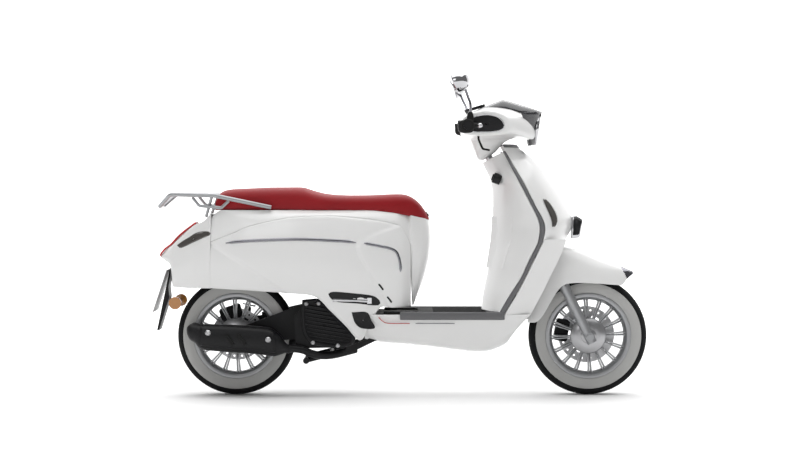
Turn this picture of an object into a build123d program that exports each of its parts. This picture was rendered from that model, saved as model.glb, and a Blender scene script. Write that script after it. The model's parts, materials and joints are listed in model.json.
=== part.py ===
"""Retro moped scooter, modelled as the assembly it is taken apart into.

Frame of the model, in millimetres: +X forward, +Y to the rider's left, +Z up.
The origin is on the ground, under the middle of the overall length.
Side-view outlines are given from an axle: fore() counts from the front axle centre and aft()
from the rear one, so the body stretches with the wheelbase and rises with the wheels.
"""

import math
import os

from build123d import *

os.makedirs("parts", exist_ok=True)

# ---------------------------------------------------------------- driving dimensions
wheelbase = 1359.0
front_axle_x = 723.0
tyre_radius = 229.0
front_tyre_width = 110.0
rear_tyre_width = 120.0
rim_flange_radius = 165.0
rim_half_width = 44.0
hub_radius = 62.0
spoke_count = 16
spoke_thickness = 7.0
axle_radius = 7.5
running_clearance = 0.05

rake = 26.5  # steering axis, degrees from upright
fork_offset = 35.0  # fork legs ahead of the steering axis
fork_half_spread = 86.0
slider_radius = 19.0
stanchion_radius = 15.0
stem_radius = 14.0

shell_wall = 4.0
panel_gap = 1.0
body_half_width = 203.0
floor_half_width = 178.0
bar_radius = 11.0
bar_half_span = 345.0
grip_length = 120.0
grip_radius = 16.0

disc_thickness = 4.0
front_disc_radius = 110.0
rear_disc_radius = 100.0

engine_pivot = (421.0, 166.0)  # from the rear axle, x and z
pivot_pin_radius = 8.0
silencer_width = 84.0

rear_axle_x = front_axle_x - wheelbase
axle_z = tyre_radius
nose_x = front_axle_x + tyre_radius
lean = math.radians(rake)
steer_up = Vector(-math.sin(lean), 0, math.cos(lean))
steer_forward = Vector(math.cos(lean), 0, math.sin(lean))
front_axle = Vector(front_axle_x, 0, axle_z)
rear_axle = Vector(rear_axle_x, 0, axle_z)


# ---------------------------------------------------------------- helpers
def fore(*points):
    """Side-view points counted from the front axle."""
    return [(front_axle_x + x, axle_z + z) for x, z in points]


def aft(*points):
    """Side-view points counted from the rear axle."""
    return [(rear_axle_x + x, axle_z + z) for x, z in points]


def on_fork(up, across=0.0, ahead=0.0):
    """A point that is so far up a fork leg's centre line from the front axle."""
    return front_axle + steer_up * up + steer_forward * ahead + Vector(0, across, 0)


def on_stem(up, across=0.0, ahead=0.0):
    """A point on the steering axis, level with that height up the fork."""
    return on_fork(up, across, ahead - fork_offset)


def facing_right(centre, out=0.0):
    """An upright plane along the length, so far to the right of a point."""
    return Plane(origin=centre - Vector(0, out, 0), x_dir=(1, 0, 0), z_dir=(0, -1, 0))


def slab(outline, inner, outer, grow=0.0):
    """A side-view outline made solid between two distances to the right of the middle."""
    with BuildPart() as plate:
        with BuildSketch(Plane.XZ.offset(inner)):
            with BuildLine():
                Polyline(*outline, close=True)
            make_face()
            if grow:
                offset(amount=grow, kind=Kind.INTERSECTION)
        extrude(amount=outer - inner)
    return plate.part


def shell(sections, level):
    """A thin-walled shell ruled through sections: level ones at heights, or upright ones at lengths."""
    with BuildPart() as skin:
        for place, outer_line, inner_line in sections:
            across = Plane(origin=(place, 0, 0), x_dir=(0, 1, 0), z_dir=(1, 0, 0))
            with BuildSketch(Plane.XY.offset(place) if level else across):
                with BuildLine():
                    Polyline(*outer_line, *reversed(inner_line), close=True)
                make_face()
        loft(ruled=True)
    return skin.part


def between(stations, place):
    """The station table read at a place between two of its rows."""
    rows = sorted(stations)
    for low, high in zip(rows, rows[1:]):
        if low[0] <= place <= high[0]:
            share = (place - low[0]) / (high[0] - low[0])
            return [a + (b - a) * share for a, b in zip(low[1:], high[1:])]
    raise ValueError(f"no station near {place}")


def rod(start, end, radius, bore=0.0):
    """A round bar or tube between two points."""
    start, end = Vector(*start), Vector(*end)
    with BuildPart() as bar:
        with BuildSketch(Plane(origin=start, z_dir=end - start)):
            Circle(radius)
            if bore:
                Circle(bore, mode=Mode.SUBTRACT)
        extrude(amount=(end - start).length)
    return bar.part


def bent_tube(route, bend, radius):
    """A solid round tube along straight runs joined by arcs."""
    with BuildPart() as tube:
        with BuildLine() as path:
            FilletPolyline(*route, radius=bend)
        with BuildSketch(Plane(origin=path.line @ 0, z_dir=path.line % 0)):
            Circle(radius)
        sweep()
    return tube.part


def both_sides(shape):
    """The shape and its mirror image across the middle plane."""
    return [shape, mirror(shape, about=Plane.XZ)]


def lifted(line):
    """Points of an upright section with their heights counted from the ground."""
    return [(y, axle_z + z) for y, z in line]


def save(shape, name):
    """Labels a finished piece and writes it as one file."""
    shape.label = name
    export_step(shape, f"parts/{name}.step")


# ---------------------------------------------------------------- wheels
rim_wall = 6.0
barrel_radius = rim_flange_radius - 20.0
bead_radius = rim_flange_radius - 12.0
flange_width = 5.0
bead_gap = 0.5
tyre_wall = 9.0
hub_half_length = 44.0
hub_cap_radius = 71.0
hub_cap_height = 10.0
spoke_face = 34.0  # distance of the spokes' outer edge from the wheel's middle
spoke_depth = 26.0


def make_rim(centre, bore_radius):
    """Cast wheel: hub, spokes and barrel in one piece, turning about Y."""
    with BuildPart() as rim:
        with BuildSketch(Plane.XY.move(Location(centre))):
            with BuildLine():
                Polyline(
                    (barrel_radius, -rim_half_width),
                    (rim_flange_radius, -rim_half_width),
                    (rim_flange_radius, -rim_half_width + flange_width),
                    (bead_radius, -rim_half_width + flange_width),
                    (bead_radius, -rim_half_width + 16),
                    (barrel_radius + rim_wall, -rim_half_width + 22),
                    (barrel_radius + rim_wall, rim_half_width - 22),
                    (bead_radius, rim_half_width - 16),
                    (bead_radius, rim_half_width - flange_width),
                    (rim_flange_radius, rim_half_width - flange_width),
                    (rim_flange_radius, rim_half_width),
                    (barrel_radius, rim_half_width),
                    close=True,
                )
            make_face()
        with BuildSketch(Plane.XY.move(Location(centre))):
            with BuildLine():
                Polyline(
                    (0, -hub_half_length - hub_cap_height),
                    (24, -hub_half_length - hub_cap_height),
                    (hub_cap_radius, -hub_half_length + 6),
                    (hub_cap_radius, -hub_half_length + 12),
                    (hub_radius, -hub_half_length + 12),
                    (hub_radius, hub_half_length - 14),
                    (42, hub_half_length),
                    (0, hub_half_length),
                    close=True,
                )
            make_face()
        revolve(axis=Axis(centre, (0, 1, 0)))
        with BuildSketch(facing_right(centre, spoke_face - spoke_depth)):
            with PolarLocations((hub_radius + barrel_radius) / 2, spoke_count, start_angle=3):
                Rectangle(barrel_radius - hub_radius + 6, spoke_thickness)
        extrude(amount=spoke_depth)
        with BuildSketch(facing_right(centre, -hub_half_length)):
            Circle(bore_radius)
        extrude(amount=2 * hub_half_length + hub_cap_height, mode=Mode.SUBTRACT)
    return rim.part


def make_tyre(centre, width):
    """Hollow tyre carcass with a rounded crown, sitting in the rim's bead seats."""
    half = width / 2
    seat = bead_radius + bead_gap
    edge = rim_flange_radius + 1
    lip = rim_half_width - flange_width - bead_gap
    heel = lip - tyre_wall
    shoulder = rim_flange_radius + (tyre_radius - rim_flange_radius) * 0.45
    outside = [(edge, lip), (shoulder, half), (tyre_radius - 18, half * 0.78), (tyre_radius, 0)]
    inside = [(edge + 3, heel), (shoulder, half - tyre_wall), (tyre_radius - tyre_wall - 2, 0)]
    with BuildPart() as tyre:
        with BuildSketch(Plane.XY.move(Location(centre))):
            with BuildLine():
                Polyline((edge + 3, heel), (seat, heel), (seat, lip), (edge, lip))
                Spline(*outside, *[(r, -y) for r, y in reversed(outside[:-1])])
                Polyline((edge, -lip), (seat, -lip), (seat, -heel), (edge + 3, -heel))
                Spline(*[(r, -y) for r, y in inside], *reversed(inside[:-1]))
            make_face()
        revolve(axis=Axis(centre, (0, 1, 0)))
    return tyre.part


def make_disc(centre, radius, face_y):
    """Brake disc with its carrier, on the wheel's hub; face_y is the disc's inner face."""
    with BuildPart() as disc:
        with BuildSketch(facing_right(centre, -face_y)):
            Circle(radius)
            Circle(axle_radius + 9, mode=Mode.SUBTRACT)
            with PolarLocations(radius * 0.62, 6):
                SlotOverall(34, 16, rotation=90, mode=Mode.SUBTRACT)
            with PolarLocations(radius * 0.86, 18):
                Circle(4, mode=Mode.SUBTRACT)
        extrude(amount=-disc_thickness)
    return disc.part


disc_gap = 2.0
front_disc_y = hub_half_length + disc_gap
rear_disc_y = hub_half_length + disc_gap
save(make_rim(front_axle, axle_radius + running_clearance), "front_rim")
save(make_tyre(front_axle, front_tyre_width), "front_tyre")
save(make_disc(front_axle, front_disc_radius, front_disc_y), "front_disc")
save(make_rim(rear_axle, axle_radius + running_clearance), "rear_rim")
save(make_tyre(rear_axle, rear_tyre_width), "rear_tyre")
save(make_disc(rear_axle, rear_disc_radius, rear_disc_y), "rear_disc")

# ---------------------------------------------------------------- fork and steering
slider_length = 218.0  # from the axle up to the dust seal
slider_foot = 26.0
stanchion_bottom = 130.0
crown_up = 336.0  # height of the fork crown up the leg
crown_thickness = 24.0
crown_edge = 17.0  # of the crown outside each leg's centre line
head_bottom = 440.0
head_top = 745.0
stem_top = 915.0
head_tube_radius = 26.0
slide_clearance = 0.3
leg_bore = stanchion_radius + slide_clearance
dust_seal_height = 22.0
axle_nut_radius = 12.0
axle_nut_height = 8.0

with BuildPart() as fork_sliders:
    for side in (-1, 1):
        foot = on_fork(-slider_foot, side * fork_half_spread)
        top = on_fork(slider_length, side * fork_half_spread)
        seal = on_fork(slider_length - dust_seal_height, side * fork_half_spread)
        add(rod(foot, top, slider_radius))
        add(rod(seal, top, slider_radius + 2))
    for side in (-1, 1):
        floor_of_bore = on_fork(stanchion_bottom - 64, side * fork_half_spread)
        top = on_fork(slider_length + 1, side * fork_half_spread)
        add(rod(floor_of_bore, top, leg_bore), mode=Mode.SUBTRACT)
        inner = front_axle + Vector(0, side * (fork_half_spread - slider_radius - 2), 0)
        outer = front_axle + Vector(0, side * (fork_half_spread + slider_radius + 2), 0)
        add(rod(inner, outer, axle_radius + 9))
    axle_reach = Vector(0, fork_half_spread + slider_radius + 2, 0)
    add(rod(front_axle - axle_reach, front_axle + axle_reach, axle_radius))
    for side in (-1, 1):
        with BuildSketch(facing_right(front_axle, side * axle_reach.Y)):
            RegularPolygon(axle_nut_radius, 6)
        extrude(amount=side * axle_nut_height)
save(fork_sliders.part, "fork_sliders")

caliper_angle = 170.0  # where the caliper sits round the front disc
pad_gap = 1.0


def make_caliper(centre, radius, face_y, angle, depth):
    """Two-piston caliper body straddling a disc, with a slot for it."""
    turned = math.radians(angle)
    spot = centre + Vector(math.cos(turned), 0, math.sin(turned)) * (radius - 12)
    plane = Plane(
        origin=Vector(spot.X, face_y + disc_thickness / 2, spot.Z),
        x_dir=(math.cos(turned), 0, math.sin(turned)),
        z_dir=(0, 1, 0),
    )
    with BuildPart() as caliper:
        with BuildSketch(plane.offset(-depth / 2)):
            RectangleRounded(54, 86, 10)
        extrude(amount=depth)
        with BuildSketch(plane.offset(-disc_thickness / 2 - pad_gap)):
            with Locations((-8, 0)):
                Rectangle(50, 90)
        extrude(amount=disc_thickness + 2 * pad_gap, mode=Mode.SUBTRACT)
    return caliper.part


front_caliper_depth = 34.0
save(
    make_caliper(front_axle, front_disc_radius, front_disc_y, caliper_angle, front_caliper_depth),
    "front_caliper",
)

with BuildPart() as fork_upper:
    add(rod(on_stem(crown_up), on_stem(stem_top), stem_radius))
    for side in (-1, 1):
        low = on_fork(stanchion_bottom, side * fork_half_spread)
        high = on_fork(crown_up + crown_thickness / 2, side * fork_half_spread)
        add(rod(low, high, stanchion_radius))
    crown_plane = Plane(origin=on_fork(crown_up), x_dir=steer_forward, z_dir=steer_up)
    with BuildSketch(crown_plane.offset(-crown_thickness / 2)):
        with BuildLine():
            Polyline(
                (-fork_offset - 24, -22),
                (-fork_offset - 24, 22),
                (-12, fork_half_spread + crown_edge),
                (20, fork_half_spread + crown_edge),
                (20, -fork_half_spread - crown_edge),
                (-12, -fork_half_spread - crown_edge),
                close=True,
            )
        make_face()
    extrude(amount=crown_thickness)
save(fork_upper.part, "fork_upper")

# ---------------------------------------------------------------- frame
frame_tube = 13.0
spine_tube = 20.0
rail_half_spread = 150.0
floor_rail_y = 110.0
floor_rail_z = 12.0  # above the axle height
pivot_x, pivot_z = rear_axle_x + engine_pivot[0], axle_z + engine_pivot[1]
engine_lug_y = 62.0
stand_pivot = Vector(rear_axle_x + 436, 0, axle_z - 49)
stand_leg_y = 92.0
stand_pin_radius = 7.0
strap_y = stand_leg_y + 14
strap_thickness = 5.0
stand_reach = Vector(0, stand_leg_y + 20, 0)
stand_strap = aft((424, -58), (448, -58), (580, 6), (566, 14), (424, -38))
peg_pin = (516.0, 144.0)  # from the rear axle, x and z
peg_pin_y = 186.0
peg_pin_radius = 4.0
peg_ear_gap = 24.6
bracket_y = 66.0
bracket_width = 10.0

spine_low = fore((-383, floor_rail_z))[0]
with BuildPart() as main_frame:
    add(rod(on_stem(head_bottom), on_stem(head_top), head_tube_radius))
    spine_start = on_stem(head_bottom + 70, ahead=-14)
    add(
        bent_tube(
            [
                (spine_start.X, 0, spine_start.Z),
                (front_axle_x - 272, 0, axle_z + 331),
                (front_axle_x - 288, 0, axle_z + 211),
                (spine_low[0], 0, spine_low[1]),
                (spine_low[0] - 60, 0, spine_low[1]),
            ],
            40,
            spine_tube,
        )
    )
    add(
        rod(
            (spine_low[0] - 40, -floor_rail_y, spine_low[1]),
            (spine_low[0] - 40, floor_rail_y, spine_low[1]),
            frame_tube,
        )
    )
    rail = [
        (spine_low[0] - 40, -floor_rail_y, spine_low[1]),
        (rear_axle_x + 566, -floor_rail_y, axle_z + floor_rail_z),
        (rear_axle_x + 516, -floor_rail_y - 15, axle_z + 71),
        (rear_axle_x + 426, -rail_half_spread, axle_z + 281),
        (rear_axle_x + 200, -rail_half_spread, axle_z + 371),
        (rear_axle_x - 150, -70, axle_z + 391),
    ]
    for shape in both_sides(bent_tube(rail, 38, frame_tube)):
        add(shape)
    cross_bars = ((556, floor_rail_y, floor_rail_z), (-140, 74, 390))
    for x, half, z in cross_bars:
        add(
            rod(
                (rear_axle_x + x, -half, axle_z + z),
                (rear_axle_x + x, half, axle_z + z),
                frame_tube - 2,
            )
        )
    # engine hanger: two ears with a cross tube to each rail
    hanger_z = engine_pivot[1] + 62
    add(
        rod(
            (pivot_x, -rail_half_spread, axle_z + hanger_z),
            (pivot_x, rail_half_spread, axle_z + hanger_z),
            frame_tube,
        )
    )
    ear = [
        (pivot_x - 20, pivot_z - 14),
        (pivot_x + 20, pivot_z - 14),
        (pivot_x + 14, axle_z + hanger_z),
        (pivot_x - 14, axle_z + hanger_z),
    ]
    for shape in both_sides(slab(ear, bracket_y, bracket_y + bracket_width)):
        add(shape)
    for side in (-1, 1):
        add(
            rod(
                (pivot_x, side * (bracket_y - 1), pivot_z),
                (pivot_x, side * (bracket_y + bracket_width + 1), pivot_z),
                pivot_pin_radius + running_clearance,
            ),
            mode=Mode.SUBTRACT,
        )
    add(
        rod(on_stem(head_bottom - 1), on_stem(head_top + 1), stem_radius + running_clearance),
        mode=Mode.SUBTRACT,
    )

# ---------------------------------------------------------------- rear shock, on the left
shock_y = 96.0
shock_top = (96.0, 361.0)  # from the rear axle, x and z
shock_bottom = (36.0, 96.0)
shock_eye_radius = 13.0
shock_pin_radius = 6.0
eye_play = 1.6
shock_can_radius = 17.0
shock_rod_radius = 6.0
eye_width = 20.0
top_eye = Vector(rear_axle_x + shock_top[0], shock_y, axle_z + shock_top[1])
low_eye = Vector(rear_axle_x + shock_bottom[0], shock_y, axle_z + shock_bottom[1])
shock_axis = (top_eye - low_eye).normalized()
shock_length = (top_eye - low_eye).length
can_length = 128.0
across = Vector(0, eye_width / 2, 0)
with BuildPart() as shock_body:
    add(rod(top_eye - across, top_eye + across, shock_eye_radius))
    add(rod(top_eye - shock_axis * 10, top_eye - shock_axis * can_length, shock_can_radius))
    add(rod(top_eye - shock_axis * 20, top_eye - shock_axis * 26, shock_can_radius + 11))
    add(
        rod(
            top_eye - shock_axis * 46,
            top_eye - shock_axis * (can_length + 1),
            shock_rod_radius + slide_clearance,
        ),
        mode=Mode.SUBTRACT,
    )
    add(
        rod(top_eye - across * 2, top_eye + across * 2, shock_pin_radius + running_clearance),
        mode=Mode.SUBTRACT,
    )
save(shock_body.part, "shock_body")

rod_reach = shock_length - can_length + 28
with BuildPart() as shock_rod:
    add(rod(low_eye, low_eye + shock_axis * rod_reach, shock_rod_radius))
    add(rod(low_eye - across, low_eye + across, shock_eye_radius))
    add(rod(low_eye + shock_axis * 14, low_eye + shock_axis * 20, shock_can_radius + 11))
    add(
        rod(low_eye - across * 1.2, low_eye + across * 1.2, shock_pin_radius + eye_play),
        mode=Mode.SUBTRACT,
    )
save(shock_rod.part, "shock_rod")

spring_wire = 4.5
spring_turns = 9
spring_low = low_eye + shock_axis * (20 + spring_wire + 0.5)
spring_height = shock_length - 46 - 2 * spring_wire - 1
with BuildPart() as shock_spring:
    with BuildLine() as coil:
        Helix(
            spring_height / spring_turns,
            spring_height,
            shock_can_radius + 6,
            center=spring_low,
            direction=shock_axis,
        )
    with BuildSketch(Plane(origin=coil.line @ 0, z_dir=coil.line % 0)):
        Circle(spring_wire)
    sweep(is_frenet=True)
save(shock_spring.part, "shock_spring")

# frame pin that carries the shock, out of the rail beside it
with main_frame:
    add(
        rod(
            (top_eye.X, shock_y - eye_width / 2 - 2, top_eye.Z),
            (top_eye.X, shock_y + eye_width / 2 + 16, top_eye.Z),
            shock_pin_radius,
        )
    )
    # stand bracket: a cross pin with a strap up to each floor rail
    add(rod(stand_pivot - stand_reach, stand_pivot + stand_reach, stand_pin_radius))
    for shape in both_sides(slab(stand_strap, strap_y, strap_y + strap_thickness)):
        add(shape)
    # footpeg mounts: an upright pin between two ears, on an arm from the rail
    for side in (-1, 1):
        pin = Vector(rear_axle_x + peg_pin[0], side * peg_pin_y, axle_z + peg_pin[1])
        rise = Vector(0, 0, peg_ear_gap / 2 + 1)
        add(rod(pin - rise, pin + rise, peg_pin_radius))
        for level in (-1, 1):
            ear = Plane.XY.offset(pin.Z + level * (peg_ear_gap / 2 + 1.8))
            with BuildSketch(ear):
                with Locations((pin.X + 4, side * (peg_pin_y - 16))):
                    Rectangle(16, 46)
            extrude(amount=1.8, both=True)
        add(rod((pin.X + 4, side * (peg_pin_y - 30), pin.Z - 17), (pin.X + 4, side * (peg_pin_y - 30), pin.Z + 17), 5))
        add(rod((pin.X + 4, side * (peg_pin_y - 30), pin.Z), (pin.X - 30, side * 134, pin.Z + 2), 6))
save(main_frame.part, "main_frame")

# ---------------------------------------------------------------- engine unit
crank_x = 300.0  # crankshaft ahead of the rear axle
cvt_inner = rear_tyre_width / 2 + 12
cvt_width = 60.0
with BuildPart() as crankcase:
    body_outline = aft(
        (232, -14),
        (256, -42),
        (380, -40),
        (418, -8),
        (424, 62),
        (372, 118),
        (262, 122),
        (226, 80),
    )
    add(slab(body_outline, -cvt_inner, 118))
    # cylinder reaching forward from the crankcase
    head = aft((414, -10), (468, 6), (478, 66), (420, 72))
    add(slab(head, -52, 52))
    # transmission arm behind the belt case, carrying the output shaft on the left
    arm = aft((252, 96), (262, -30), (20, -52), (-40, -34), (-52, 14), (-26, 52), (40, 66))
    add(slab(arm, -cvt_inner - 10, -cvt_inner + 1))
    # right-hand arm that holds the wheel's outer bearing
    stay = aft((250, 122), (282, 20), (232, -10), (20, -26), (-26, -20), (-30, 22), (14, 34))
    add(slab(stay, rear_tyre_width / 2 + 12, rear_tyre_width / 2 + 22))
    # hanger lugs
    lug = aft(
        (engine_pivot[0] - 40, 92),
        (engine_pivot[0] - 6, 66),
        (engine_pivot[0] + 18, engine_pivot[1] + 2),
        (engine_pivot[0] + 6, engine_pivot[1] + 20),
        (engine_pivot[0] - 16, engine_pivot[1] + 12),
    )
    for shape in both_sides(slab(lug, engine_lug_y - 16, engine_lug_y)):
        add(shape)
    add(
        rod(
            rear_axle + Vector(0, -(rear_tyre_width / 2 + 28), 0),
            rear_axle + Vector(0, cvt_inner + 10, 0),
            axle_radius,
        )
    )
    add(
        rod(
            (pivot_x, -bracket_y - bracket_width - 6, pivot_z),
            (pivot_x, bracket_y + bracket_width + 6, pivot_z),
            pivot_pin_radius,
        )
    )
    # bracket with the pin for the shock's lower eye
    add(
        rod(
            (low_eye.X, cvt_inner + 4, low_eye.Z),
            (low_eye.X, shock_y + eye_width / 2 + 4, low_eye.Z),
            shock_pin_radius,
        )
    )
    add(slab(aft((20, 40), (52, 40), (46, 106), (26, 106)), -cvt_inner - 9, -cvt_inner - 2))
    add(make_caliper(rear_axle, rear_disc_radius, rear_disc_y, 108, 20))
    add(slab(aft((-44, 66), (-20, 30), (20, 40), (-2, 92)), -cvt_inner - 1, -53))
save(crankcase.part, "crankcase")

with BuildPart() as cvt_cover:
    with BuildSketch(Plane.XZ.offset(-cvt_inner - 10)):
        with BuildLine():
            outline = aft(
                (-70, 0), (-48, 46), (0, 68), (150, 92), (crank_x, 118), (386, 84),
                (402, 20), (372, -34), (crank_x, -52), (120, -64), (0, -68), (-50, -46),
            )
            Spline(*outline, periodic=True)
        make_face()
    extrude(amount=-cvt_width)
    fillet(cvt_cover.edges().group_by(Axis.Y)[-1], 12)
    shock_room = slab(aft((0, 52), (90, 52), (90, 130), (0, 130)), -200, -cvt_inner - 9)
    add(shock_room, mode=Mode.SUBTRACT)
save(cvt_cover.part, "cvt_cover")

grille_inner = 122.0
grille_outer = 150.0
rib_pitch = 13.0
with BuildPart() as radiator_grille:
    outline = aft(
        (262, 142), (330, 142), (434, 30), (450, -2), (440, -24), (380, -36), (306, -26),
        (282, -8), (262, 34),
    )
    add(slab(outline, grille_inner, grille_outer))
    with BuildSketch(Plane.XZ.offset(grille_outer - 10)):
        with Locations(aft((350, 52))[0]):
            with GridLocations(rib_pitch, 1, 7, 1):
                Rectangle(6, 190, rotation=14)
    extrude(amount=12, mode=Mode.SUBTRACT)
save(radiator_grille.part, "radiator_grille")

silencer_y = rear_tyre_width / 2 + 28 + 12 + silencer_width / 2
with BuildPart() as exhaust:
    # from the rear axle: x, height of the middle, height, share of the full width
    stations = [(-178, 6, 58, 0.62), (-150, 4, 94, 0.96), (20, -6, 94, 1.0)]
    stations += [(140, -12, 86, 0.9), (182, -24, 40, 0.5)]
    for x, z, height, share in stations:
        place = Plane(origin=(rear_axle_x + x, -silencer_y, axle_z + z), x_dir=(0, 1, 0), z_dir=(1, 0, 0))
        with BuildSketch(place):
            RectangleRounded(silencer_width * share, height, 16 * share)
    loft(ruled=True)
    pipe = [
        (rear_axle_x + 170, -silencer_y, axle_z - 30),
        (rear_axle_x + 252, -silencer_y + 6, axle_z - 46),
        (rear_axle_x + 330, -silencer_y + 10, axle_z - 66),
        (rear_axle_x + 500, -silencer_y + 11, axle_z - 56),
        (rear_axle_x + 522, -60, axle_z - 54),
        (rear_axle_x + 482, 0, axle_z - 48),
        (rear_axle_x + 442, 0, axle_z + 2),
    ]
    add(bent_tube(pipe, 24, 14))
    add(crankcase.part, mode=Mode.SUBTRACT)
save(exhaust.part, "exhaust")

shield_thickness = 3.0
shield_gap = 2.0
with BuildPart() as exhaust_shield:
    plate = aft(
        (-180, 34), (-134, 52), (50, 48), (128, 40), (160, 8), (158, -40), (60, -50), (-140, -46),
        (-160, -20),
    )
    outer_face = silencer_y + silencer_width / 2 + shield_gap
    add(slab(plate, outer_face, outer_face + shield_thickness))
    for x, z in aft((-104, 2), (64, -6)):
        add(rod((x, -silencer_y, z), (x, -outer_face - 8, z), 5))
    with BuildSketch(Plane.XZ.offset(outer_face - 1)):
        with Locations(*aft((-30, -2), (22, -4))):
            SlotOverall(56, 16, rotation=-55)
    extrude(amount=shield_thickness + 2, mode=Mode.SUBTRACT)
    add(exhaust.part, mode=Mode.SUBTRACT)
save(exhaust_shield.part, "exhaust_shield")

# ---------------------------------------------------------------- rear body shells
seat_line = 487.0  # height of the body's top edge above the axle
top_half_width = 140.0
column_half_width = 100.0
panel_stations = (
    # from the rear axle: x, lower edge, upper edge, half widths low, at the waist and high
    (-93, 189, 364, 146, 162, 154),
    (64, 181, 426, 176, 190, 176),
    (197, 172, 456, 182, body_half_width - 2, 178),
    (306, 162, 464, 184, body_half_width, 178),
    (367, 105, 465, 178, body_half_width + 2, 178),
    (424, 48, 462, 166, body_half_width, 176),
    (480, -9, 456, 156, body_half_width - 4, 172),
    (556, 116, 446, 172, 186, 162),
    (640, 117, 419, 140, 156, 140),
    (674, 118, 352, column_half_width + 4, column_half_width + 8, column_half_width + 6),
)


def panel_section(x, lower, upper, low, waist, high):
    """One upright section of the right-hand side panel."""
    middle = 0.45 * lower + 0.55 * upper
    line = [(low, lower), (waist, middle), (high, upper)]
    outer = [(-y, axle_z + z) for y, z in line]
    return (rear_axle_x + x, outer, [(y + shell_wall, z) for y, z in outer])


def upper_section(x):
    """One upright section of the body between the side panel and the seat."""
    lower, upper, low, waist, high = between(panel_stations, x)
    top = top_half_width + min(0, (high - 176) * 0.9)
    outer = [(-high, axle_z + upper + panel_gap), (-top, axle_z + seat_line)]
    return (rear_axle_x + x, outer, [(y + shell_wall, z) for y, z in outer])


footpeg_recess = aft((363, 173), (526, 164), (545, 124), (359, 135))
vent = aft((450, 99), (507, 97), (537, 40), (488, 40))
with BuildPart() as side_panel_right:
    add(shell([panel_section(*station) for station in panel_stations], False))
    add(slab(footpeg_recess, 30, 260), mode=Mode.SUBTRACT)
    add(slab(vent, 30, 260), mode=Mode.SUBTRACT)
save(side_panel_right.part, "side_panel_right")
save(mirror(side_panel_right.part, about=Plane.XZ), "side_panel_left")

column_front = (
    # height above the axle: front face and half width of the flat, then of the sides
    (118, 684, 44, 100),
    (331, 748, 46, 106),
    (seat_line, 756, 44, 79),
)
column_side_x = 684.0


def column_section(z, front, flat, side):
    """One level section of the column's front wall."""
    outer = [(column_side_x, side), (front, flat), (front, -flat), (column_side_x, -side)]
    inner = [(column_side_x, side - shell_wall), (front - shell_wall, flat)]
    inner += [(x, -y) for x, y in reversed(inner)]
    if front <= column_side_x:
        outer = [(front - 6, side), *outer[1:3], (front - 6, -side)]
        inner = [(front - 6, side - shell_wall), *inner[1:3], (front - 6, -side + shell_wall)]
    outer = [(rear_axle_x + x, y) for x, y in outer]
    inner = [(rear_axle_x + x, y) for x, y in inner]
    return (axle_z + z, outer, inner)


with BuildPart() as seat_column:
    strip = shell([upper_section(station[0]) for station in panel_stations], False)
    for shape in both_sides(strip):
        add(shape)
    add(shell([column_section(*station) for station in column_front], True))
    # ties between the front wall and the two sides
    with BuildSketch(Plane.XY.offset(axle_z + 400)):
        with Locations((rear_axle_x + column_side_x - 2, -85), (rear_axle_x + column_side_x - 2, 85)):
            Rectangle(24, 16)
    extrude(amount=12)
save(seat_column.part, "seat_column")

tail_stations = (
    # from the rear axle: x, lower edge, top, half widths low, at the waist and on top
    (-286, 302, 311, 60, 64, 50),
    (-248, 276, 344, 88, 96, 76),
    (-240, 189, 352, 94, 106, 80),
    (-157, 188, 428, 122, 142, 106),
    (-119, 188, 441, 134, 152, 116),
    (-95, 188, 470, 144, 160, 120),
)


def tail_section(x, lower, upper, low, waist, top):
    """One upright section of the tail, open below."""
    middle = 0.45 * lower + 0.55 * upper
    right = [(-low, lower), (-waist, middle), (-top, upper)]
    outer = right + [(-y, z) for y, z in reversed(right)]
    inner = [(-low + shell_wall, lower), (-waist + shell_wall, middle), (-top + shell_wall, upper - shell_wall)]
    inner += [(-y, z) for y, z in reversed(inner)]
    return (rear_axle_x + x, lifted(outer), lifted(inner))


with BuildPart() as tail_cover:
    add(shell([tail_section(*station) for station in tail_stations], False))
save(tail_cover.part, "tail_cover")

strip_half_width = 46.0
strip_outline = aft((-158, 431), (-287, 313), (-292, 306), (-290, 302), (-296, 302), (-297, 314), (-160, 438))
with BuildPart() as tail_light:
    add(slab(strip_outline, -strip_half_width, strip_half_width))
save(tail_light.part, "tail_light")

lens_depth = 5.0
lens_gap = 1.5
rear_lens = (
    # from the rear axle: x, lower edge and upper edge
    (-222, 350, 353),
    (-170, 371, 387),
    (-157, 376, 393),
    (-132, 387, 404),
    (-119, 393, 405),
    (-104, 399, 405),
)


def rear_lens_section(x, low, high):
    """One upright section of the rear indicator, just outside the tail's skin."""
    lower, upper, _, waist, top = between(tail_stations, x)
    middle = 0.45 * lower + 0.55 * upper
    lean = (top - waist) / (upper - middle)
    face = waist + lens_gap + lens_depth
    outer = [(-face - lean * (z - middle), axle_z + z) for z in (low, high)]
    return (rear_axle_x + x, outer, [(y + lens_depth, z) for y, z in outer])


# ---------------------------------------------------------------- front body shells
apron_stations = (
    # height above the axle; then from the front axle: rear middle, rear side, trim side, nose side,
    # nose middle; and the half width
    (100, -413, -352, -330, -262, -274, 178),
    (171, -405, -311, -282, -186, -270, 188),
    (231, -393, -272, -251, -158, -266, 195),
    (291, -383, -245, -222, -128, -262, 201),
    (371, -371, -207, -184, -97, -83, 205),
    (435, -366, -202, -178, -88, -55, 205),
    (511, -370, -236, -216, -122, -83, 198),
    (591, -376, -277, -255, -175, -135, 178),
    (661, -407, -313, -295, -232, -188, 140),
    (735, -430, -352, -335, -290, -276, 84),
)
shield_top = 655.0
nose_bottom = 371.0
mid_share = 0.6


def rider_line(z):
    """The inner shield's level section, from left to right."""
    back, back_side, trim_side, nose_side, nose, half = between(apron_stations, z)
    bowed = 0.55 * back + 0.45 * back_side
    right = [(back, 0), (bowed, -mid_share * half), (back_side, -half)]
    return [(x, -y) for x, y in reversed(right[1:])] + right


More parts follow.
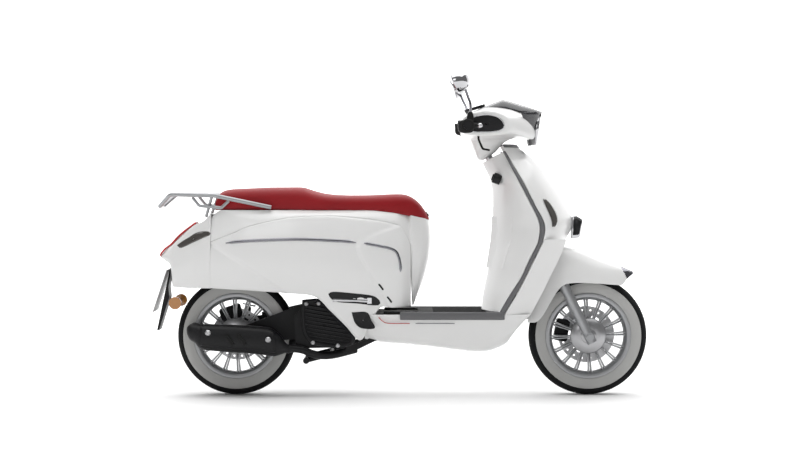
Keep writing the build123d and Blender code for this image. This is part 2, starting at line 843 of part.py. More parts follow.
def nose_line(z):
    """The leg shield's level section, from left to right."""
    back, back_side, trim_side, nose_side, nose, half = between(apron_stations, z)
    bowed = 0.7 * nose_side + 0.3 * nose
    right = [(nose, 0), (bowed, -mid_share * half), (trim_side, -half)]
    return [(x, -y) for x, y in reversed(right[1:])] + right


def apron_shell(heights, line, shift):
    """A shell that follows a level line up the apron, its inside moved along the length."""
    sections = []
    for z in heights:
        outer = [(front_axle_x + x, y) for x, y in line(z)]
        sections.append((axle_z + z, outer, [(x + shift, y) for x, y in outer]))
    return shell(sections, True)


def side_bar(heights, first, second, inset, short=0.0):
    """A side wall between two columns of the apron's station table, on the right."""
    sections = []
    for z in heights:
        row = between(apron_stations, z)
        half = row[5]
        outer = [(row[first] + short, -half), (row[second] - short, -half + inset)]
        outer = [(front_axle_x + x, y) for x, y in outer]
        sections.append((axle_z + z, outer, [(x, y + shell_wall) for x, y in outer]))
    return shell(sections, True)


levels = [row[0] for row in apron_stations]
door_height = (263.0, 461.0)
door_half_width = 118.0
pocket_half_width = 108.0
lock_radius = 20.0
lock_y = -96.0
lock_z = 610.0
back, back_side, *_, half = between(apron_stations, lock_z)
lock_plane = Plane(
    origin=(front_axle_x + back + 18, lock_y, axle_z + lock_z), x_dir=(0, 1, 0), z_dir=(-1, 0, 0.35)
)
with BuildPart() as inner_shield:
    add(apron_shell([z for z in levels if z < shield_top] + [shield_top], rider_line, shell_wall))
    with BuildSketch(Plane.YZ.offset(front_axle_x - 500)):
        with Locations((0, axle_z + (door_height[0] + door_height[1]) / 2)):
            Rectangle(2 * pocket_half_width, door_height[1] - door_height[0] - 20)
    extrude(amount=400, mode=Mode.SUBTRACT)
    with BuildSketch(lock_plane.offset(-60)):
        Circle(lock_radius + 1)
    extrude(amount=120, mode=Mode.SUBTRACT)
save(inner_shield.part, "inner_shield")

door_gap = 1.0
door_thickness = 4.0


def door_line(z):
    """The inner shield's line between the door's two sides."""
    line = rider_line(z)
    (x_mid, _), (x_bowed, y_bowed), (x_side, y_side) = line[2], line[3], line[4]
    share = (door_half_width - abs(y_bowed)) / (abs(y_side) - abs(y_bowed))
    edge = (x_bowed + (x_side - x_bowed) * max(0, share), -door_half_width)
    if share <= 0:
        slope = (x_bowed - x_mid) / abs(y_bowed)
        edge = (x_mid + slope * door_half_width, -door_half_width)
    right = [(x_mid, 0), edge]
    return [(x - door_gap, y) for x, y in [(edge[0], door_half_width), *right]]


with BuildPart() as glovebox_door:
    heights = [door_height[0], 291, 371, 435, door_height[1]]
    add(apron_shell(heights, door_line, -door_thickness))
save(glovebox_door.part, "glovebox_door")

with BuildPart() as shield_trim:
    bar = side_bar([z for z in levels if z <= 712], 1, 2, 0, shell_wall + 1)
    for shape in both_sides(bar):
        add(shape)
    sill = fore((-334, 100), (-330, 88), (-353, 72), (-462, 68), (-727, 75), (-727, 100))
    for shape in both_sides(slab(sill, floor_half_width + 1, floor_half_width + 1 + shell_wall)):
        add(shape)
save(shield_trim.part, "shield_trim")

with BuildPart() as leg_shield:
    add(apron_shell([z for z in levels if z >= nose_bottom], nose_line, -shell_wall))
    wing = side_bar([z for z in levels if z < nose_bottom] + [nose_bottom + 4], 2, 3, 20)
    for shape in both_sides(wing):
        add(shape)
save(leg_shield.part, "leg_shield")

lens_top = 537.0
lens_low = 422.0
lens_lean = 0.48  # forward run of the lens for each unit down
lens_width = 20.0


def front_lens_line(z):
    """The front indicator's level section, just outside the shield's skin."""
    (_, _), (x_bowed, y_bowed), (x_side, y_side) = nose_line(z)[2:]
    start = -188 + (lens_top - z) * lens_lean
    lean = (y_bowed - y_side) / (x_bowed - x_side)
    return [(x, y_side + (x - x_side) * lean - lens_gap) for x in (start, start + lens_width)]


with BuildPart() as indicators:
    sections = []
    for z in (lens_low, 435, 511, lens_top):
        outer = [(front_axle_x + x, y - lens_depth) for x, y in front_lens_line(z)]
        sections.append((axle_z + z, outer, [(x, y + lens_depth) for x, y in outer]))
    for shape in both_sides(shell(sections, True)):
        add(shape)
    for shape in both_sides(shell([rear_lens_section(*row) for row in rear_lens], False)):
        add(shape)
save(indicators.part, "indicators")

nose_outline = fore((-48, 466), (-23, 447), (-33, 382), (-64, 378))
with BuildPart() as nose_grille:
    add(slab(nose_outline, -34, 34))
save(nose_grille.part, "nose_grille")

# ---------------------------------------------------------------- floor
floor_top = 90.0
floor_stations = (
    # from the front axle: x, underside height, half widths at the bottom and the waist
    (-876, -8, 128, 164),
    (-723, -31, 146, 172),
    (-461, -61, 142, 174),
    (-366, -54, 134, 172),
    (-302, -20, 118, 168),
    (-276, 20, 104, 160),
)


def floor_section(x, low, bottom, waist):
    """One upright section of the floor pan, open on top."""
    middle = 0.45 * floor_top + 0.55 * low
    right = [(-floor_half_width, floor_top), (-waist, middle), (-bottom, low)]
    outer = right + [(-y, z) for y, z in reversed(right)]
    inner = [(y + shell_wall, z) for y, z in right[:2]] + [(-bottom + shell_wall, low + shell_wall)]
    inner += [(-y, z) for y, z in reversed(inner)]
    return (front_axle_x + x, lifted(outer), lifted(inner))


with BuildPart() as floor_fairing:
    add(shell([floor_section(*station) for station in floor_stations], False))
    # the side panels and the stand's straps pass here
    beside_panel = aft((460, -60), (484, -9), (560, 118), (460, 118))
    for shape in both_sides(slab(beside_panel, 130, 200)):
        add(shape, mode=Mode.SUBTRACT)
    for shape in both_sides(slab(stand_strap, strap_y - 1, strap_y + strap_thickness + 1, 2)):
        add(shape, mode=Mode.SUBTRACT)
save(floor_fairing.part, "floor_fairing")

mat_thickness = 8.0
mat_half_width = 165.0
mat_rib_pitch = 22.0
mat_front = -374.0
mat_front_middle = -420.0
rib_height = 2.0
with BuildPart() as floor_mat:
    with BuildSketch(Plane.XY.offset(axle_z + floor_top)):
        with BuildLine():
            front = front_axle_x + mat_front
            column = rear_axle_x + 700
            rear = rear_axle_x + 570
            plan = [(front_axle_x + mat_front_middle, -80), (front, -140), (front, -mat_half_width)]
            plan += [(rear, -mat_half_width), (rear, -column_half_width - 12)]
            plan += [(column - 8, -column_half_width - 12), (column, -column_half_width + 10)]
            Polyline(*plan, *[(x, -y) for x, y in reversed(plan)], close=True)
        make_face()
    extrude(amount=mat_thickness)
    with BuildSketch(Plane.XY.offset(axle_z + floor_top + mat_thickness)):
        with Locations((front_axle_x - 500, 0)):
            with GridLocations(1, mat_rib_pitch, 1, 12):
                SlotOverall(200, 8)
    extrude(amount=rib_height)
save(floor_mat.part, "floor_mat")

# ---------------------------------------------------------------- seat
seat_half_width = 146.0
seat_outline = aft(
    (-62, 494), (-72, 536), (-38, 565), (132, 572), (263, 573), (332, 551), (440, 543), (594, 548),
    (663, 543), (713, 507), (740, 496),
)
seat_plan = ((-80, 116), (140, 126), (320, seat_half_width), (560, 134), (700, 88), (752, 40))
with BuildPart() as seat_pad:
    add(slab(seat_outline, -seat_half_width, seat_half_width))
    with BuildSketch():
        with BuildLine():
            edge = [(rear_axle_x + x, -y) for x, y in seat_plan]
            Polyline(*edge, *[(x, -y) for x, y in reversed(edge)], close=True)
        make_face()
    extrude(amount=900, mode=Mode.INTERSECT)
save(seat_pad.part, "seat_pad")

base_thickness = 5.0
hinge_pin_radius = 4.0
seat_hinge = Vector(rear_axle_x + 736, 0, axle_z + seat_line - 22)
hinge_half_length = 30.0
# hinge at the seat's front: a barrel on the base, and a pin held by the storage tub
knuckle_radius = 8.0
pin_length = 2 * hinge_half_length + 24
tub_outline = aft((330, 246), (600, 246), (612, 470), (310, 470))
tub_half_width = 104.0
with BuildPart() as storage_tub:
    add(slab(tub_outline, -tub_half_width, tub_half_width))
    room = slab(aft((333, 249), (597, 249), (609, 472), (313, 472)), 3 - tub_half_width, tub_half_width - 3)
    add(room, mode=Mode.SUBTRACT)
    hinge_arm = aft((606, 440), (732, 452), (744, 465), (736, 474), (606, 460))
    for side in (-1, 1):
        inner_face = side * (hinge_half_length + 4) - 2
        add(slab(hinge_arm, inner_face, inner_face + 4))
    pin_half = Vector(0, pin_length / 2, 0)
    add(rod(seat_hinge - pin_half, seat_hinge + pin_half, hinge_pin_radius))
save(storage_tub.part, "storage_tub")

with BuildPart() as seat_base:
    with BuildSketch(Plane.XY.offset(axle_z + 494 - base_thickness)):
        with BuildLine():
            edge = [(rear_axle_x + x, -y + 12) for x, y in seat_plan[:-1]]
            Polyline(*edge, *[(x, -y) for x, y in reversed(edge)], close=True)
        make_face()
    extrude(amount=base_thickness)
    half = Vector(0, hinge_half_length, 0)
    add(rod(seat_hinge - half, seat_hinge + half, knuckle_radius))
    strap = aft((686, 491), (694, 484), (732, 470), (738, 476), (702, 491))
    add(slab(strap, -hinge_half_length, hinge_half_length))
    with BuildSketch(Plane.XZ.offset(-hinge_half_length - 1)):
        with Locations((seat_hinge.X, seat_hinge.Z)):
            Circle(hinge_pin_radius + running_clearance)
    extrude(amount=2 * hinge_half_length + 2, mode=Mode.SUBTRACT)
save(seat_base.part, "seat_base")

# ---------------------------------------------------------------- inside the body
with BuildPart() as fuel_tank:
    with BuildSketch(Plane.XY.offset(axle_z + 412)):
        with Locations((rear_axle_x + 150, 0)):
            RectangleRounded(250, 180, 24)
    extrude(amount=60)
    with BuildSketch(Plane.XY.offset(axle_z + 472)):
        with Locations((rear_axle_x + 150, 0)):
            Circle(26)
    extrude(amount=10)
save(fuel_tank.part, "fuel_tank")

with BuildPart() as wheel_liner:
    add(slab(fore((-292, 60), (-288, 60), (-276, 344), (-280, 344)), -128, 128))
    with BuildSketch(Plane.YZ.offset(front_axle_x - 330)):
        with Locations((0, axle_z + 250)):
            Rectangle(64, 260)
    extrude(amount=80, mode=Mode.SUBTRACT)
save(wheel_liner.part, "wheel_liner")

# ---------------------------------------------------------------- tail furniture
rack_tube = 8.0
rack_half_width = 150.0
rack_low = (142.0, 497.0)  # from the rear axle, where the rail meets the body
with BuildPart() as luggage_rack:
    rail = [
        (rear_axle_x + rack_low[0], -rack_half_width, axle_z + rack_low[1]),
        (rear_axle_x - 75, -rack_half_width, axle_z + 542),
        (rear_axle_x - 245, -120, axle_z + 546),
        (rear_axle_x - 292, -62, axle_z + 500),
    ]
    handle = [
        (rear_axle_x - 160, -128, axle_z + 535),
        (rear_axle_x - 133, -134, axle_z + 503),
        (rear_axle_x - 49, -138, axle_z + 495),
        (rear_axle_x - 20, -142, axle_z + 521),
    ]
    for shape in both_sides(bent_tube(rail, 26, rack_tube)) + both_sides(bent_tube(handle, 14, 6)):
        add(shape)
    for x, z, half in ((-105, 545, 138), (-170, 546, 130), (-232, 546, 120), (-292, 500, 64)):
        spot = (rear_axle_x + x, axle_z + z)
        add(rod((spot[0], -half, spot[1]), (spot[0], half, spot[1]), rack_tube - 1))
    for side in (-1, 1):
        foot = (rear_axle_x - 110, side * 100, axle_z + 462)
        add(rod(foot, (rear_axle_x - 84, side * (rack_half_width - 8), axle_z + 540), 6))
save(luggage_rack.part, "luggage_rack")

plate_half_width = 90.0
plate_top = (-262, 256)
plate_low = (-315, 95)
with BuildPart() as plate_bracket:
    add(slab(aft((-262, 187), (-250, 262), (-256, 262), (-306, 22), (-298, 22), (-258, 150)), -44, 44))
save(plate_bracket.part, "plate_bracket")

with BuildPart() as number_plate:
    face = aft(plate_top, plate_low, (plate_low[0] + 2, 94), (plate_top[0] + 2, 255))
    add(slab([(x - 3, z) for x, z in face], -plate_half_width, plate_half_width))
save(number_plate.part, "number_plate")

with BuildPart() as rear_reflectors:
    with BuildSketch(Plane.XZ.offset(104)):
        with Locations(aft((-229, 130))[0]):
            Circle(24)
    extrude(amount=6)
    add(rod((rear_axle_x - 229, -44, axle_z + 130), (rear_axle_x - 229, -104, axle_z + 130), 5))
    mirror(about=Plane.XZ)
save(rear_reflectors.part, "rear_reflectors")

# ---------------------------------------------------------------- handlebar and headset
bar_centre = on_stem(stem_top)
sweep_back = 36.0
bar_bend_y = 110.0
bar_end = Vector(bar_centre.X - sweep_back, bar_half_span, bar_centre.Z)
with BuildPart() as handlebar:
    route = [
        (bar_end.X, -bar_half_span, bar_end.Z),
        (bar_end.X, -bar_bend_y - 70, bar_end.Z),
        (bar_centre.X, -bar_bend_y, bar_centre.Z),
        (bar_centre.X, bar_bend_y, bar_centre.Z),
        (bar_end.X, bar_bend_y + 70, bar_end.Z),
        (bar_end.X, bar_half_span, bar_end.Z),
    ]
    add(bent_tube(route, 40, bar_radius))
    add(fork_upper.part, mode=Mode.SUBTRACT)
    add(rod((bar_end.X, -bar_half_span, bar_end.Z), (bar_end.X, -bar_half_span - 5, bar_end.Z), grip_radius))
save(handlebar.part, "handlebar")

grip_flange = 25.0
button_radius = 8.0
housing_y = bar_half_span - grip_length - 22


def make_grip(side, bore):
    """Rubber grip round the bar end, with a flange at its root."""
    outer_end = side * (bar_half_span - 1)
    root = side * (bar_half_span - grip_length)
    x, z = bar_end.X, bar_end.Z
    with BuildPart() as grip:
        add(rod((x, root, z), (x, outer_end, z), grip_radius, bore))
        add(rod((x, root, z), (x, root + side * 7, z), grip_flange, bore))
    return grip.part


save(make_grip(-1, bar_radius + running_clearance), "throttle_grip")
save(make_grip(1, bar_radius + running_clearance), "left_grip")

lever_pin_radius = 4.0
lever_pin = Vector(bar_end.X + 42, housing_y + 4, bar_end.Z)
housing_width = 30.0
lever_thickness = 10.0
lever_radius = 4.4
mirror_ball_radius = 7.0
mirror_joint = Vector(bar_end.X - 20, housing_y + 92, bar_end.Z + 140)
with BuildPart() as control_clusters:
    housing = [
        (bar_end.X - 30, bar_end.Z - 26),
        (bar_end.X + 28, bar_end.Z - 26),
        (bar_end.X + 28, bar_end.Z + 26),
        (bar_end.X - 30, bar_end.Z + 26),
    ]
    for shape in both_sides(slab(housing, housing_y - housing_width / 2, housing_y + housing_width / 2)):
        add(shape)
    for side in (-1, 1):
        # fork of the brake lever, above and below it
        for level in (-1, 1):
            clevis = Plane.XY.offset(lever_pin.Z + level * (lever_thickness / 2 + 0.5 + 2.5))
            with BuildSketch(clevis):
                with Locations((bar_end.X + 36, side * (housing_y + 2))):
                    RectangleRounded(40, 26, 6)
            extrude(amount=2.5, both=True)
        pin = Vector(lever_pin.X, side * lever_pin.Y, lever_pin.Z)
        add(rod(pin - Vector(0, 0, 11), pin + Vector(0, 0, 11), lever_pin_radius))
        face = Vector(bar_end.X - 31, side * housing_y, bar_end.Z + 15)
        add(rod(face, face + Vector(16, 0, 0), button_radius + 0.5), mode=Mode.SUBTRACT)
        # mirror stem on its boss, with the ball at its top
        foot = Vector(bar_end.X + 14, side * housing_y, bar_end.Z + 25)
        joint = Vector(mirror_joint.X, side * mirror_joint.Y, mirror_joint.Z)
        add(rod(foot, foot + Vector(0, 0, 24), 11))
        stem = [
            tuple(foot + Vector(0, 0, 16)),
            (foot.X + 3, foot.Y, foot.Z + 50),
            (joint.X + 12, joint.Y - side * 6, joint.Z - 32),
            tuple(joint),
        ]
        add(bent_tube(stem, 20, 5))
        with Locations(Location(joint)):
            Sphere(mirror_ball_radius)
    bore_start = (bar_end.X, -300, bar_end.Z)
    add(rod(bore_start, (bar_end.X, 300, bar_end.Z), bar_radius + running_clearance), mode=Mode.SUBTRACT)
save(control_clusters.part, "control_clusters")


def make_lever(side):
    """Brake lever with a ball end, swinging on an upright pin in the housing."""
    pin = Vector(lever_pin.X, side * lever_pin.Y, lever_pin.Z)
    knuckle = Vector(pin.X + 14, side * (housing_y + 40), pin.Z)
    tip = Vector(pin.X + 4, side * (bar_half_span - 12), pin.Z)
    with BuildPart() as lever:
        add(rod(pin, knuckle, lever_radius))
        add(rod(knuckle, tip, lever_radius))
        with Locations(Location(knuckle)):
            Sphere(lever_radius + 0.5)
        add(rod(pin - Vector(0, 0, lever_thickness / 2), pin + Vector(0, 0, lever_thickness / 2), 10))
        with Locations(Location(tip)):
            Sphere(9)
        add(
            rod(pin - Vector(0, 0, 8), pin + Vector(0, 0, 8), lever_pin_radius + running_clearance),
            mode=Mode.SUBTRACT,
        )
    return lever.part


save(make_lever(-1), "brake_lever_front")
save(make_lever(1), "brake_lever_rear")

for name, side in (("starter_button", -1), ("horn_button", 1)):
    with BuildPart() as button:
        face_x = bar_end.X - 34
        start = Vector(face_x, side * housing_y, bar_end.Z + 15)
        add(rod(start, start + Vector(14, 0, 0), button_radius))
    save(button.part, name)

mirror_size = (46.0, 58.0)
mirror_depth = 44.0
mirror_tilt = 20.0
socket_clearance = 0.3
for name, side in (("mirror_head_right", -1), ("mirror_head_left", 1)):
    with BuildPart() as head:
        joint = Vector(mirror_joint.X, side * mirror_joint.Y, mirror_joint.Z)
        tilt = math.radians(mirror_tilt)
        backward = Vector(-math.cos(tilt), 0, -math.sin(tilt))
        centre = Vector(joint.X - 20, joint.Y, joint.Z + 30)
        face = Plane(origin=centre, x_dir=(0, 1, 0), z_dir=-backward)
        for distance, share in ((0, 1.0), (mirror_depth * 0.45, 0.86), (mirror_depth * 0.85, 0.5)):
            with BuildSketch(face.offset(distance)):
                Ellipse(mirror_size[0] * share, mirror_size[1] * share)
        loft()
        with Locations(Location(joint)):
            Sphere(mirror_ball_radius + 5)
            Sphere(mirror_ball_radius + socket_clearance, mode=Mode.SUBTRACT)
        stem_way = Vector(mirror_joint.X + 12, side * (mirror_joint.Y - 6), mirror_joint.Z - 32)
        add(rod(joint, stem_way, 10), mode=Mode.SUBTRACT)
    save(head.part, name)

cowl_sections = (
    # distance from the middle, then how far the outline is drawn in to its own centre
    (-196, 0.46),
    (-150, 0.80),
    (-60, 1.0),
    (60, 1.0),
    (150, 0.80),
    (196, 0.46),
)
cowl_top_line = fore((-476, 770), (-494, 838), (-419, 872), (-323, 882), (-219, 842))
cowl_outline = cowl_top_line + fore((-190, 850), (-200, 752), (-330, 757), (-400, 752))
cowl_centre = (bar_end.X + 60, bar_end.Z + 4)


def cowl_solid(draw_in):
    """The headset cover's outer form, drawn in by a wall."""
    with BuildPart() as form:
        for y, share in cowl_sections:
            size = share - draw_in
            with BuildSketch(Plane.XZ.offset(y * (1 - draw_in / 3))):
                with BuildLine():
                    points = [
                        (cowl_centre[0] + (x - cowl_centre[0]) * size, cowl_centre[1] + (z - cowl_centre[1]) * size)
                        for x, z in cowl_outline
                    ]
                    Polyline(*points, close=True)
                make_face()
        loft(ruled=True)
    return form.part


neck_radius = 44.0
neck_low = 777.0
lamp_radius = 62.0
with BuildPart() as headset_cowl:
    add(cowl_solid(0))
    add(rod(on_stem(neck_low), on_stem(neck_low + 86), neck_radius))
    add(cowl_solid(0.045), mode=Mode.SUBTRACT)
    add(rod(on_stem(neck_low - 1), on_stem(neck_low + 130), neck_radius - shell_wall), mode=Mode.SUBTRACT)
    # ways out for the bar on both sides
    add(rod((bar_end.X, -260, bar_end.Z), (bar_end.X, 260, bar_end.Z), 22), mode=Mode.SUBTRACT)
    lamp_seat = (front_axle_x - 206, 0, axle_z + 800)
    add(rod(lamp_seat, (lamp_seat[0] + 60, 0, lamp_seat[2] + 3), lamp_radius + 2), mode=Mode.SUBTRACT)
    housing = [
        (bar_end.X - 32, bar_end.Z - 28),
        (bar_end.X + 62, bar_end.Z - 28),
        (bar_end.X + 62, bar_end.Z + 28),
        (bar_end.X - 32, bar_end.Z + 28),
    ]
    for shape in both_sides(slab(housing, housing_y - housing_width / 2 - 2, 260)):
        add(shape, mode=Mode.SUBTRACT)
save(headset_cowl.part, "headset_cowl")

with BuildPart() as headlight:
    lamp = Plane(origin=(front_axle_x - 196, 0, axle_z + 800), x_dir=(0, 1, 0), z_dir=(1, 0, 0.05))
    for distance, radius in ((0, lamp_radius), (10, lamp_radius - 2), (20, lamp_radius - 18)):
        with BuildSketch(lamp.offset(distance + 4)):
            Circle(radius)
    loft()
save(headlight.part, "headlight")

with BuildPart() as speedometer:
    dial = Plane(origin=(front_axle_x - 436, 0, axle_z + 874), x_dir=(0, 1, 0), z_dir=(-0.3, 0, 1))
    with BuildSketch(dial):
        Circle(42)
    extrude(amount=10)
save(speedometer.part, "speedometer")

screen_thickness = 4.0
screen_half_width = 100.0
with BuildPart() as flyscreen:
    arc = fore((-378, 902), (-328, 912), (-250, 892), (-182, 872))
    drop = [(x, z - screen_thickness) for x, z in reversed(arc)]
    add(slab(arc + drop, -screen_half_width, screen_half_width))
save(flyscreen.part, "flyscreen")

with BuildPart() as brake_hose:
    hose = [
        (bar_end.X + 44, -housing_y + 20, bar_end.Z - 9),
        (bar_end.X + 46, -housing_y + 22, bar_end.Z - 48),
        (bar_end.X + 62, -housing_y + 40, bar_end.Z - 84),
        (bar_end.X + 88, -housing_y + 66, bar_end.Z - 88),
    ]
    add(bent_tube(hose, 16, 4))
    add(headset_cowl.part, mode=Mode.SUBTRACT)
save(brake_hose.part, "brake_hose")

with BuildPart() as ignition_lock:
    with BuildSketch(lock_plane.offset(-26)):
        Circle(lock_radius)
    extrude(amount=30)
    with BuildSketch(lock_plane.offset(4)):
        SlotOverall(26, 7, rotation=90)
    extrude(amount=5)
save(ignition_lock.part, "ignition_lock")

# ---------------------------------------------------------------- front fender
fender_stations = (
    # from the front axle: x, lower edge, top, half widths low, at the side and on top
    (-236, 55, 150, 96, 98, 60),
    (-214, 56, 300, 106, 108, 96),
    (-176, 93, 320, 112, 113, 108),
    (-149, 139, 342, 113, 113, 108),
    (-95, 205, 348, 113, 112, 92),
    (-34, 208, 332, 110, 106, 60),
    (43, 204, 303, 100, 98, 40),
    (128, 199, 270, 64, 62, 24),
    (151, 224, 259, 46, 44, 16),
    (178, 238, 246, 12, 11, 8),
)
fender_wall = 3.0


def fender_section(x, lower, upper, low, side, top):
    """One upright section of the fender, open below."""
    middle = 0.45 * lower + 0.55 * upper
    inner_top = upper - min(fender_wall, (upper - lower) / 3)
    right = [(-low, lower), (-side, middle), (-top, upper)]
    outer = right + [(-y, z) for y, z in reversed(right)]
    inner = [(-low + fender_wall, lower), (-side + fender_wall, middle), (-top + fender_wall, inner_top)]
    inner += [(-y, z) for y, z in reversed(inner)]
    return (front_axle_x + x, lifted(outer), lifted(inner))


with BuildPart() as front_fender:
    add(shell([fender_section(*station) for station in fender_stations], False))
    add(rod(on_stem(crown_up), on_stem(head_bottom), stem_radius + 3), mode=Mode.SUBTRACT)
save(front_fender.part, "front_fender")

# ---------------------------------------------------------------- footpegs
peg_radius = 9.0
peg_length = 138.0
for name, side in (("footpeg_right", -1), ("footpeg_left", 1)):
    with BuildPart() as footpeg:
        pin = Vector(rear_axle_x + peg_pin[0], side * peg_pin_y, axle_z + peg_pin[1])
        add(rod(pin, pin - Vector(peg_length, 0, -4), peg_radius))
        add(rod(pin - Vector(0, 0, 11), pin + Vector(0, 0, 11), 11))
        add(
            rod(pin - Vector(0, 0, 14), pin + Vector(0, 0, 14), peg_pin_radius + running_clearance),
            mode=Mode.SUBTRACT,
        )
    save(footpeg.part, name)

# ---------------------------------------------------------------- centre stand
stand_leg_length = stand_pivot.Z - 12.0
stand_tube = 10.0
stand_fold = 14.0  # folded legs point back and this far below level, degrees
fold = math.radians(stand_fold)
with BuildPart() as centre_stand:
    back_way = Vector(-math.cos(fold), 0, -math.sin(fold))
    for side in (-1, 1):
        hub = stand_pivot + Vector(0, side * stand_leg_y, 0)
        foot = hub + back_way * stand_leg_length + Vector(0, side * 8, 0)
        add(rod(hub, foot, stand_tube))
        add(rod(foot - Vector(0, 26, 0), foot + Vector(0, 26, 0), stand_tube + 2))
    half = Vector(0, stand_leg_y + 12, 0)
    add(rod(stand_pivot - half, stand_pivot + half, stand_pin_radius + 6))
    cross = stand_pivot + back_way * 70
    add(rod(cross - Vector(0, stand_leg_y, 0), cross + Vector(0, stand_leg_y, 0), 8))
    add(
        rod(stand_pivot - half * 1.1, stand_pivot + half * 1.1, stand_pin_radius + running_clearance),
        mode=Mode.SUBTRACT,
    )
save(centre_stand.part, "centre_stand")
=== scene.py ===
"""Looks for the retro moped scooter: smooth body shells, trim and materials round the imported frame.

Side-view sizes are millimetres from an axle, as fore() from the front one and aft() from the rear.
The helpers' own sizes, such as a thickness or a radius, are metres.
"""

import json
import math

import bmesh
import bpy
import numpy as np
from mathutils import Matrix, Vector


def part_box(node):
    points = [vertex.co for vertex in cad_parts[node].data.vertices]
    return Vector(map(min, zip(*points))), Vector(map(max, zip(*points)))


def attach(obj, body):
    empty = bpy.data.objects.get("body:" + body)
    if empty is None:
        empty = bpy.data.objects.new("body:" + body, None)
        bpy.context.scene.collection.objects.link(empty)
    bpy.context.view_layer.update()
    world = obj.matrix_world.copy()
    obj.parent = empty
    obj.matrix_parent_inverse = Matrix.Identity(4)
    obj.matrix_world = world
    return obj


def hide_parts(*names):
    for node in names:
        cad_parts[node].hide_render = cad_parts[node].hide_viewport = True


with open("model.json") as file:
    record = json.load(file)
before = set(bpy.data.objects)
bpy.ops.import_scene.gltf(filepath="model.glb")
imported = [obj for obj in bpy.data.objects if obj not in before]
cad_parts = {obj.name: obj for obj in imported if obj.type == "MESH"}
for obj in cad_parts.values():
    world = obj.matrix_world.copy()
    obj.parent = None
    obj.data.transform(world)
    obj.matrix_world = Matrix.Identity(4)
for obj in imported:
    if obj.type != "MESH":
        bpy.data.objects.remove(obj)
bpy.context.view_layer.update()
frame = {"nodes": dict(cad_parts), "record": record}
nodes = frame["nodes"]
MM = 0.001


def middle(node):
    """The middle of a node's box."""
    low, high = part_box(node)
    return (Vector(low) + Vector(high)) / 2


front_axle = middle("front_tyre")
rear_axle = middle("rear_tyre")
axle_z = front_axle.z
tyre_radius = axle_z


def fore(x, z, y=0.0):
    """A point from the front axle, given in millimetres."""
    return Vector((front_axle.x + x * MM, y * MM, axle_z + z * MM))


def aft(x, z, y=0.0):
    """A point from the rear axle, given in millimetres."""
    return Vector((rear_axle.x + x * MM, y * MM, axle_z + z * MM))


# ---------------------------------------------------------------- camera, floor and light
def make_camera():
    """A long lens from the scooter's right, a little above the axles."""
    data = bpy.data.cameras.new("camera")
    data.lens = 90.5
    data.sensor_width = 36.0
    camera = bpy.data.objects.new("camera", data)
    bpy.context.scene.collection.objects.link(camera)
    target = Vector((-0.004, 0.0, 0.656))
    distance, elevation = 7.8, math.radians(1.2)
    camera.location = target + Vector((0, -math.cos(elevation), math.sin(elevation))) * distance
    camera.rotation_euler = (target - camera.location).to_track_quat("-Z", "Y").to_euler()
    bpy.context.scene.camera = camera


def make_light(name, location, size, power, target=(0, 0, 0.6)):
    """A soft area light that faces a target."""
    data = bpy.data.lights.new(name, "AREA")
    data.shape = "RECTANGLE"
    data.size, data.size_y = size
    data.energy = power
    lamp = bpy.data.objects.new(name, data)
    lamp.location = location
    lamp.rotation_euler = (Vector(target) - Vector(location)).to_track_quat("-Z", "Y").to_euler()
    bpy.context.scene.collection.objects.link(lamp)


def make_world(strength):
    """An even pale surround."""
    world = bpy.data.worlds.new("surround")
    world.use_nodes = True
    shade = world.node_tree.nodes["Background"]
    shade.inputs["Color"].default_value = (1.0, 1.0, 1.0, 1.0)
    shade.inputs["Strength"].default_value = strength
    bpy.context.scene.world = world
    bpy.context.scene.view_settings.view_transform = "Standard"


# ---------------------------------------------------------------- materials
def add_node(tree, kind, values):
    """A shader node with some of its inputs set."""
    node = tree.nodes.new(kind)
    for label, value in values.items():
        node.inputs[label].default_value = value
    return node


def add_noise(tree, scale, detail):
    """Noise over the piece's own coordinates."""
    noise = add_node(tree, "ShaderNodeTexNoise", {"Scale": scale, "Detail": detail})
    tree.links.new(tree.nodes["Texture Coordinate"].outputs["Object"], noise.inputs["Vector"])
    return noise


def add_bump(tree, height, strength, distance):
    """Relief on the tree's shader, from an output that gives its height."""
    relief = add_node(tree, "ShaderNodeBump", {"Strength": strength, "Distance": distance})
    tree.links.new(height, relief.inputs["Height"])
    tree.links.new(relief.outputs["Normal"], tree.nodes["Principled BSDF"].inputs["Normal"])


def surface(name, colour, rough=0.5, metal=0.0, coat=0.0, bump=0.0, scale=300.0, vary=0.06, shine=0.5):
    """A procedural surface: fine bump, and colour and roughness that vary a little."""
    material = bpy.data.materials.new(name)
    material.use_nodes = True
    tree = material.node_tree
    shader = tree.nodes["Principled BSDF"]
    shader.inputs["Metallic"].default_value = metal
    shader.inputs["Coat Weight"].default_value = coat
    shader.inputs["Coat Roughness"].default_value = 0.05
    shader.inputs["Specular IOR Level"].default_value = shine
    tree.nodes.new("ShaderNodeTexCoord")
    broad = add_noise(tree, 9.0, 5.0)
    tint = tree.nodes.new("ShaderNodeMixRGB")
    tint.inputs["Color1"].default_value = (*[c * (1 - vary) for c in colour], 1)
    tint.inputs["Color2"].default_value = (*[min(1, c * (1 + vary)) for c in colour], 1)
    tree.links.new(broad.outputs["Fac"], tint.inputs["Fac"])
    tree.links.new(tint.outputs["Color"], shader.inputs["Base Color"])
    limits = {"To Min": max(0.02, rough * 0.85), "To Max": min(1.0, rough * 1.15)}
    spread = add_node(tree, "ShaderNodeMapRange", limits)
    tree.links.new(broad.outputs["Fac"], spread.inputs["Value"])
    tree.links.new(spread.outputs["Result"], shader.inputs["Roughness"])
    if bump:
        add_bump(tree, add_noise(tree, scale, 4.0).outputs["Fac"], bump, 0.001)
    return material


